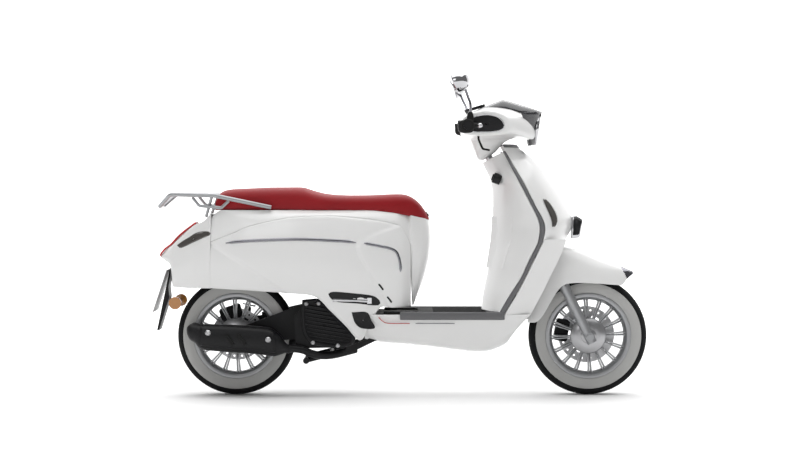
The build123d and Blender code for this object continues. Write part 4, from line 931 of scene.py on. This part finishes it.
def make_seat():
    """A two-level cushion with squarish rounded sides and a hollowed rider's place, as one closed form."""
    front = [655, 670, 684, 698, 710, 720, 730, 738, 744]
    rows = []
    for x in np.concatenate([[-74, -70, -60, -48, -30], np.linspace(0, 640, 34), front]):
        half, top, low = at_line(SEAT_PLAN, x), at_line(SEAT_TOP, x), at_line(SEAT_LOW, x)
        ring = []
        for k in range(32):
            angle = math.pi * k / 31
            y = half * squared(math.cos(angle), 0.42)
            z = low + (top - low) * abs(math.sin(angle)) ** 0.5
            z -= 6 * max(0.0, 1 - abs(y) / (half * 0.6)) * (1 if 330 < x < 640 else 0)
            ring.append(aft(x, z, -y))
        ring += [aft(x, low - 1, y) for y in np.linspace(half * 0.96, -half * 0.96, 12)]
        rows.append(ring)
    columns = len(rows[0])
    vertices = [p for row in rows for p in row]
    faces = grid_faces(len(rows), columns, closed_columns=True)
    faces.append(tuple(range(columns)))
    faces.append(tuple(reversed(range((len(rows) - 1) * columns, len(rows) * columns))))
    seat = settle(piece("seat_cushion", vertices, faces, red_leather), "seat", sub=1)
    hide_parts("seat_pad")


# ---------------------------------------------------------------- side panel details
CREASE_LOW = [(-95, 363), (60, 266), (196, 176)]
CREASE_FRONT = [
    (708, 446), (632, 430), (575, 409), (518, 386), (478, 368), (467, 352), (474, 326), (530, 225),
    (594, 112),
]


def panel_half(x, z):
    """Half width of the side panel's skin at a point of the side view."""
    lower, upper, low, waist, high = at_table(SOFT_PANEL, x)
    t = min(1.0, max(0.0, (z - lower) / (upper - lower)))
    edge = low + (high - low) * t
    return edge + (waist - (low + high) / 2) * (4 * t * (1 - t)) ** 0.8


def side_of(curve, x, z):
    """Signed distance from a side-view line, positive on its left when walked along."""
    best, sign = 1e9, 1.0
    for (x0, z0), (x1, z1) in zip(curve, curve[1:]):
        dx, dz = x1 - x0, z1 - z0
        t = max(0.0, min(1.0, ((x - x0) * dx + (z - z0) * dz) / (dx * dx + dz * dz)))
        gap = math.hypot(x - x0 - t * dx, z - z0 - t * dz)
        if gap < best:
            best = gap
            sign = 1.0 if dx * (z - z0) - dz * (x - x0) > 0 else -1.0
    return best * sign


def step(distance, width):
    """A soft step from 0 to 1 across a line."""
    t = min(1.0, max(0.0, distance / width + 0.5))
    return t * t * (3 - 2 * t)


def panel_relief(x, z):
    """How far the panel's skin stands in or out from its plain belly."""
    low = -8.0 * step(-side_of(CREASE_LOW, x, z), 10) if x < 260 else 0.0
    front = 7.0 * step(side_of(CREASE_FRONT, x, z), 10) if x > 440 else 0.0
    return low + front


def on_panel(x, z, proud=0.0):
    """A point on the right side panel's skin."""
    return aft(x, z, -(panel_half(x, z) + panel_relief(x, z) + proud))


def make_side_panels():
    """The side panels, with a crease at the rear and a raised section at the front."""
    rows = []
    for x in np.concatenate([np.linspace(-93, 440, 62), np.linspace(448, 674, 44)]):
        lower, upper = at_table(SOFT_PANEL, x)[:2]
        line = [on_panel(x, z) for z in np.linspace(lower, upper, 46)]
        line.insert(0, aft(x, lower - 0.5, -(panel_half(x, lower) + panel_relief(x, lower) - 7)))
        line.append(aft(x, upper + 1.5, -(panel_half(x, upper) + panel_relief(x, upper) - 7)))
        rows.append(line)
    for made in skin("side_cover", rows, *PAINTED, sides=(1, -1), facing=(0, -1, 0), solid=0.003):
        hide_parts("side_panel_right" if made.name.endswith("right") else "side_panel_left")


def ribbon(name, line, width, proud, material, slot, count=60):
    """A thin strip laid along a side-view line on the panel, narrowed at its ends, on both sides."""
    path = smooth_curve(line, count)
    rows = []
    for i, (x, z) in enumerate(path):
        ahead = path[min(i + 1, count - 1)] - path[max(i - 1, 0)]
        ahead = ahead / np.linalg.norm(ahead)
        t = i / (count - 1)
        half = width / 2 * min(1.0, 0.25 + min(t, 1 - t) * 14)
        row = []
        for share, rise in (
            (-1.0, -1.0), (-0.8, proud * 0.75), (0.0, proud), (0.8, proud * 0.75), (1.0, -1.0),
        ):
            row.append(on_panel(x - ahead[1] * half * share, z + ahead[0] * half * share, rise))
        rows.append(row)
    return skin(name, rows, material, "chassis", slot, sides=(1, -1))


def recess(name, outline, depth, material, slot, place=on_panel):
    """An inlaid shape on a skin with a slightly sunk middle, on both sides."""
    ring = smooth_curve([*outline, outline[0]], 41)[:-1]
    centre = ring.mean(axis=0)
    rows = []
    for share, rise in ((1.03, -0.6), (1.0, 0.9), (0.93, 0.9), (0.88, depth), (0.5, depth), (0.05, depth)):
        rows.append([place(*(centre + (p - centre) * share), rise) for p in ring])
    return skin(name, rows, material, "chassis", slot, sides=(1, -1), closed=True)


def on_lower_side(x, z, proud=0.0):
    """A point over the panel's front foot and the floor's rear end."""
    return aft(x, z, -(max(panel_half(x, z) + panel_relief(x, z), 180.5) + proud + 1.5))


def make_panel_details():
    """Chrome strips, footrest pocket, vents and slots on the side panels."""
    ribbon(
        "side_strip", [(-30, 362), (20, 368), (103, 373), (254, 377), (405, 371), (466, 365)], 12, 2.4,
        smoke_chrome, "chrome",
    )
    front_strip = [(496, 363), (556, 351), (594, 342), (617, 329), (628, 306), (634, 276), (634, 253)]
    ribbon("side_strip_front", front_strip, 11, 2.4, smoke_chrome, "chrome")
    pocket = [
        (362, 170), (372, 152), (400, 139), (470, 134), (540, 126), (556, 134), (548, 150), (522, 164),
        (440, 174), (380, 178),
    ]
    recess("foot_pocket", pocket, 0.4, black_plastic, "black_plastic")
    vent = [(450, 99), (462, 60), (487, 40), (535, 40), (522, 70), (505, 99)]
    recess("side_vent", vent, 0.3, black_plastic, "black_plastic", place=on_lower_side)
    for shift in (0, 32):
        slot_line = [
            (551 + shift, 208 - shift * 1.52), (560 + shift, 197 - shift * 1.52),
            (569 + shift, 184 - shift * 1.52),
        ]
        ribbon(f"side_slot_{shift}", slot_line, 8, 0.8, black_plastic, "black_plastic", count=12)


# ---------------------------------------------------------------- tail and lamps
def tail_half(x, z):
    """Half width of the tail at a point of the side view."""
    lower, upper, low, waist, top = at_table(TAIL, x)
    return bellied(low, waist, top, min(1.0, max(0.0, (z - lower) / (upper - lower))))


def on_tail(x, z, proud=0.0):
    """A point on the right of the tail's skin."""
    return aft(x, z, -(tail_half(x, z) + proud))


def make_rear_lamps():
    """The red lamp across the tail's slope and the brown indicators at its sides."""
    slope = smooth_curve(
        [
            (-154, 434), (-190, 408), (-222, 381), (-250, 351), (-272, 334), (-290, 312), (-290, 302),
            (-268, 291),
        ],
        30,
    )
    rows = []
    for x, z in slope:
        half = 48 + (x < -250) * (-(x + 250)) * 0.25
        row = []
        for y in np.linspace(-half, half, 13):
            row.append(aft(x - 5 * (1 - (y / half) ** 4), z + 5 * (1 - (y / half) ** 4) + 3, y))
        rows.append(row)
    (lamp,) = skin("tail_lamp", rows, red_lens, "chassis", "lens_red", solid=0.004)
    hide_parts("tail_light")
    shape = [
        (-222, 352), (-200, 368), (-172, 384), (-150, 398), (-124, 405), (-96, 404), (-92, 392), (-120, 380),
        (-160, 362), (-205, 342),
    ]
    made = recess("rear_turn_lens", shape, 2.2, dark_lens, "lens_amber", place=on_tail)
    for part in made:
        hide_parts("indicators")


def make_front_lamps():
    """Indicators let into the leg shield's shoulders."""
    rows = []
    for z in np.linspace(424, 530, 22):
        _, _, trim_side, _, nose, half = apron_at(z)
        arc = arc_between((trim_side, half), (nose, 0), 0.42, 41)
        t = (z - 424) / 106
        first = 6 + 3 * t
        last = first + 7.5 * math.sin(math.pi * min(1, max(0.0, 0.06 + 0.9 * t))) ** 0.6
        row = []
        for k in np.linspace(first, last, 7):
            x, y = np.array(arc[int(k)]) * (1 - k % 1) + np.array(arc[int(k) + 1]) * (k % 1)
            row.append(fore(x + 2.5, z, -(y + 2.0)))
        rows.append(row)
    for part in skin(
        "front_turn_lens", rows, dark_lens, "chassis", "lens_amber", sides=(1, -1), solid=0.002,
    ):
        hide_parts("indicators")


def make_headlight():
    """A round headlight with a chrome bezel and a clear, slightly domed glass."""
    centre = fore(-203, 800)
    way = Vector((1, 0, -0.12))
    bowl = [(-0.03, 0.012), (-0.028, 0.030), (-0.012, 0.050), (0.004, 0.058)]
    turned("headlight_bowl", centre, way, bowl, chrome, "steering", "chrome")
    ring = [
        (-0.004, 0.0565), (-0.004, 0.0655), (0.004, 0.0665), (0.009, 0.064), (0.010, 0.060), (0.006, 0.0565),
    ]
    turned("headlight_bezel", centre, way, ring, chrome, "steering", "chrome", closed=True)
    glass = [(0.006, 0.0585), (0.010, 0.050), (0.013, 0.034), (0.0145, 0.016), (0.0148, 0.0005)]
    made = turned("headlight_glass", centre, way, glass, lamp_glass, "steering", "lamp_glass")
    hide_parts("headlight")


# ---------------------------------------------------------------- engine side
def make_exhaust():
    """A tapered oval silencer with a raised heat shield, slots and bolts."""
    middle_y = -0.142
    stations = [
        # x, height of the middle, half height, half width, from the rear axle
        (-181, 26, 8, 12), (-178, 26, 17, 24), (-168, 22, 30, 34), (-150, 20, 39, 40), (-125, 5, 48, 42),
        (-60, 0, 52, 42), (24, -4, 53, 42), (100, -10, 54, 42), (139, -16, 54, 42), (158, -22, 48, 40),
        (178, -28, 36, 32), (196, -38, 20, 20), (210, -44, 16, 16),
    ]
    rows = []
    for x, z, high, wide in smooth_curve(stations, 46):
        ring = []
        for k in range(40):
            angle = 2 * math.pi * k / 40
            c, s = math.cos(angle), math.sin(angle)
            ring.append(aft(x, z + high * squared(s, 0.85), middle_y / MM + wide * squared(c, 0.85)))
        rows.append(ring)
    (can,) = skin("silencer", rows, frame_black, "engine_unit", "frame_black", closed=True)
    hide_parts("exhaust")
    header = [
        aft(205, -42, -140), aft(252, -40, -138), aft(300, -66, -130), aft(360, -72, -112),
        aft(420, -60, -84), aft(462, -50, -64),
    ]
    pipe = tube("header_pipe", header, 0.015, frame_black, "engine_unit", resolution=14)[0]
    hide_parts("exhaust")
    cover = []
    for x, z, high, wide in smooth_curve([s for s in stations if -130 <= s[0] <= 165], 34):
        row = []
        for k in range(17):
            angle = math.radians(-38 + 98 * k / 16)
            c, s = math.cos(angle), math.sin(angle)
            grow = 3.2 if 0 < k < 16 else 0.4
            row.append(aft(
                x, z + (high + grow) * squared(s, 0.85), middle_y / MM - (wide + grow) * abs(c) ** 0.85,
            ))
        cover.append(row)
    (shield,) = skin("heat_shield", cover, frame_black, "engine_unit", "frame_black", solid=0.0015)
    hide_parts("exhaust_shield")
    for x in (-12, 34):
        slot_line = [aft(x - 14, 16, -187.5), aft(x + 12, -24, -187.5)]
        tube(f"shield_slot_{x}", slot_line, 0.0070, rubber, "engine_unit", smooth=False)
    for x, z in ((-96, 22), (132, -4)):
        bolt(f"shield_bolt_{x}", aft(x, z, -189), 0.008)


def bolt(name, place, radius):
    """A domed bolt head with a washer, facing right on the engine."""
    head = [
        (-0.003, radius * 1.35), (0.001, radius * 1.35), (0.0012, radius), (0.004, radius * 0.95),
        (0.0052, radius * 0.55), (0.0045, radius * 0.45), (0.0030, 0.0004),
    ]
    turned(name, place, (0, -1, 0), head, steel, "engine_unit", "steel", segments=24)


def make_radiator_cover():
    """The ribbed cover at the engine's right."""
    outline = smooth_curve(
        [
            (259, 144), (290, 147), (327, 144), (380, 90), (434, 30), (458, 6), (463, -2), (449, -27),
            (384, -39), (308, -27), (281, -8), (262, 30), (257, 90), (259, 144),
        ],
        61,
    )[:-1]
    centre = outline.mean(axis=0)
    rows = []
    for share, out in (
        (0.97, 96), (1.0, 120), (1.0, 143), (0.97, 149), (0.90, 150), (0.87, 145), (0.5, 145), (0.05, 145),
    ):
        rows.append([aft(*(centre + (p - centre) * share), -out) for p in outline])
    (cover,) = skin("cooler_cover", rows, engine_black, "engine_unit", "black_plastic", closed=True)
    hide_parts("radiator_grille")
    for k, z in enumerate(range(-16, 132, 14)):
        xs = [p for p in np.linspace(262, 456, 60) if inside(
            outline, p, z + (p - 360) * -0.16, 0.86, centre,
        )]
        if len(xs) > 3:
            line = [aft(x, z + (x - 360) * -0.16, -147.5) for x in (xs[0], xs[-1])]
            tube(f"cooler_rib_{k}", line, 0.0026, frame_black, "engine_unit", smooth=False)
    for k, (x, z) in enumerate(((275, 130), (322, 132), (300, -18), (395, -30))):
        bolt(f"cooler_bolt_{k}", aft(x, z, -149), 0.006)


def inside(ring, x, z, share, centre):
    """Whether a point is within a shrunk copy of a ring."""
    shape = centre + (ring - centre) * share
    hit = False
    for (x0, z0), (x1, z1) in zip(shape, np.roll(shape, -1, axis=0)):
        if (z0 > z) != (z1 > z) and x < x0 + (z - z0) / (z1 - z0) * (x1 - x0):
            hit = not hit
    return hit


# ---------------------------------------------------------------- controls
SIDES = ((-1, "right"), (1, "left"))


def mirror_rows(side, name, sections):
    """Oval rings round a mirror's head; a section gives a distance along its facing and a share of its size."""
    centre = middle(f"mirror_head_{name}")
    facing = Vector((-0.90, -side * 0.16, -0.36)).normalized()
    upward = facing.cross(Vector((0, 1, 0))).normalized()
    across = upward.cross(facing).normalized()
    rows = []
    for along, share in sections:
        ring = []
        for k in range(40):
            a = 2 * math.pi * k / 40
            offset = across * 0.056 * share * math.cos(a) + upward * 0.044 * share * math.sin(a)
            ring.append(centre - facing * along + offset)
        rows.append(ring)
    return rows


def make_mirrors():
    """Chrome mirror shells with a bright face to the rear."""
    shell = [
        (-0.020, 0.93), (-0.022, 0.98), (-0.018, 1.0), (-0.004, 0.98), (0.010, 0.90), (0.022, 0.74),
        (0.030, 0.50), (0.034, 0.2), (0.035, 0.02),
    ]
    face = [(-0.0205, 0.93), (-0.0208, 0.5), (-0.021, 0.02)]
    for side, name in SIDES:
        for part, sections, finish in (("shell", shell, chrome), ("face", face, mirror_glass)):
            rows = mirror_rows(side, name, sections)
            (made,) = skin(f"mirror_{part}_{name}", rows, finish, f"mirror_{name}", "chrome", closed=True)
            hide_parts(f"mirror_head_{name}")


def make_controls():
    """Switch housings with rounded backs, and bent mirror stems on rubber boots."""
    boot = [
        (0.0, 0.015), (0.004, 0.0155), (0.012, 0.013), (0.020, 0.0125), (0.032, 0.0095), (0.036, 0.007),
        (0.037, 0.001),
    ]
    for side, name in SIDES:
        head = middle(f"mirror_head_{name}")
        rows = []
        for along, share in (
            (0, 0.2), (0, 0.86), (3, 0.97), (10, 1.0), (26, 1.0), (33, 0.96), (36, 0.86), (36, 0.2),
        ):
            ring = []
            for k in range(36):
                a = 2 * math.pi * k / 36
                x = -478 + 31 * share * squared(math.cos(a), 0.6)
                z = 803 + 25 * share * squared(math.sin(a), 0.7)
                ring.append(fore(x, z, side * (186 + along)))
            rows.append(ring)
        (housing,) = skin(
            f"switch_housing_{name}", rows, black_plastic, "steering", "black_plastic", closed=True,
        )
        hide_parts("control_clusters")
        clamp = [fore(-452, 806, side * 204), fore(-436, 806, side * 206), fore(-428, 804, side * 208)]
        tube(f"lever_clamp_{name}", clamp, 0.012, black_plastic, "steering")
        foot = fore(-462, 822, side * 203)
        turned(
            f"mirror_boot_{name}", foot, (0, 0, 1), boot, rubber, "steering", "black_plastic", segments=32,
        )
        stem = [
            foot + Vector((0, 0, 0.02)),
            foot + Vector((0.004, 0.0, 0.06)),
            head + Vector((0.030, -side * 0.030, -0.060)),
            head + Vector((0.016, -side * 0.010, -0.022)),
        ]
        (rod,) = tube(f"mirror_stem_{name}", stem, 0.0052, smoke_chrome, "steering")
        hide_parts("control_clusters")


def make_shield_cap():
    """The grey cap along the top of the leg shield."""
    rows = []
    for z, grow in ((726, 1.0), (733, 2.5), (738, 1.5), (739, -4.0)):
        _, _, trim_side, _, nose, half = apron_at(min(z, 735))
        arc = arc_between((trim_side, half), (nose, 0), NOSE_BOW, 14)
        rows.append(both_sides(fore, [(x + grow, z, y + grow) for x, y in arc]))
    skin("shield_cap", rows, grey_trim, "chassis", "trim_grey", facing=(1, 0, 0.3))


def floor_half(z):
    """Half width of the floor skirt at a height, near its middle."""
    return 178 + 2 - 3.5 * (90 - z) / 150


def make_floor_marks():
    """The red and grey lines along the floor's side."""
    sides = [(-808, 80), (-798, 70), (-788, 62), (-775, 58), (-760, 57)]
    reds = [fore(x, z, -(floor_half(z) + 0.6)) for x, z in sides] + [
        fore(-700, 57, -180.2), fore(-690, 57, -180.2),
    ]
    tube("red_line", reds, 0.0016, red_paint, "chassis", sides=(1, -1))
    greys = [fore(-668, 57, -180.2), fore(-560, 57, -180.2), fore(-520, 57, -180.0)]
    tube("grey_line", greys, 0.0014, grey_trim, "chassis", sides=(1, -1))


def make_grip(name, node, body, slot):
    """A ribbed rubber grip with end flanges."""
    low, high = Vector(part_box(node)[0]), Vector(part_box(node)[1])
    centre = (low + high) / 2
    length = high.y - low.y
    outward = 1 if centre.y > 0 else -1
    profile = []
    start = -length / 2
    profile += [(start, 0.0125), (start, 0.0245), (start + 0.004, 0.0248), (start + 0.006, 0.019)]
    for k in range(14):
        a = start + 0.009 + (length - 0.022) * k / 14
        profile += [(a, 0.0172), (a + 0.0032, 0.0176), (a + 0.0040, 0.0160), (a + 0.0058, 0.0160)]
    end = length / 2
    profile += [
        (end - 0.011, 0.0172), (end - 0.009, 0.0225), (end - 0.004, 0.0245), (end - 0.001, 0.0215),
        (end, 0.0125),
    ]
    bar = Vector((centre.x, 0, centre.z))
    made = turned(
        name, bar + Vector((0, centre.y, 0)), (0, outward, 0), profile, rubber, body, slot, segments=48,
        closed=False,
    )
    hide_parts(node)


# ---------------------------------------------------------------- small trim
def make_nose_grille():
    """A chrome-edged beak with dark faces at the foot of the nose ridge."""
    outline = [(-60, 462), (-44, 464), (-24, 450), (-21, 444), (-31, 384), (-38, 378), (-66, 376)]
    beak = block(
        "nose_beak", [fore(x, z) for x, z in outline], -0.031, 0.031, chrome, "chassis", "chrome",
        bevel=0.003,
    )[0]
    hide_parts("nose_grille")
    ring = np.array(outline, float)
    centre = ring.mean(axis=0)
    inner = [fore(*(centre + (p - centre) * 0.74), 0) for p in ring]
    block("nose_side", inner, 0.0306, 0.0316, black_plastic, "chassis", "black_plastic", sides=(1, -1))
    mouth = []
    for t in np.linspace(0, 1, 10):
        wide = 22 * (1 - (2 * t - 1) ** 4) + 3
        mouth.append([fore(-30.5 + 10 * t, 388 + 56 * t, y) for y in np.linspace(-wide, wide, 9)])
    skin("nose_mouth", mouth, black_plastic, "chassis", "black_plastic", facing=(1, 0, 0), solid=0.001)


# ---------------------------------------------------------------- build
make_camera()
make_world(0.22)
make_light("top", (0.0, 0.8, 6.0), (11.0, 10.0), 760)
make_light("key", (-2.2, -5.5, 3.2), (2.6, 2.0), 30)
floor = make_sheet("floor", [(-14, -14, 0), (14, -14, 0), (14, 14, 0), (-14, 14, 0)], pale_floor_paint())
wall = make_sheet(
    "wall", [(-30, 13.9, -2), (30, 13.9, -2), (30, 13.9, 16), (-30, 13.9, 16)], white_wall_paint(),
)

paint_nodes()
make_side_panels()
make_panel_details()
make_upper_band()
make_tail()
make_rear_lamps()
make_front_lamps()
make_headlight()
make_exhaust()
make_radiator_cover()
make_mirrors()
make_grip("grip_right", "throttle_grip", "throttle", "rubber_black")
make_grip("grip_left", "left_grip", "steering", "rubber_black")
make_controls()
make_shield_cap()
make_floor_marks()
make_nose_grille()
make_inner_shield()
make_leg_shield()
make_trim()
make_fender()
make_floor()
make_cowl()
make_screen()
make_tyre("front_tyre_skin", front_axle, 110, "front_wheel", "front_tyre")
make_tyre("rear_tyre_skin", rear_axle, 120, "rear_wheel", "rear_tyre")
make_rim("front_wheel", front_axle, "front_wheel", "front_rim")
make_rim("rear_wheel", rear_axle, "rear_wheel", "rear_rim")
make_seat()
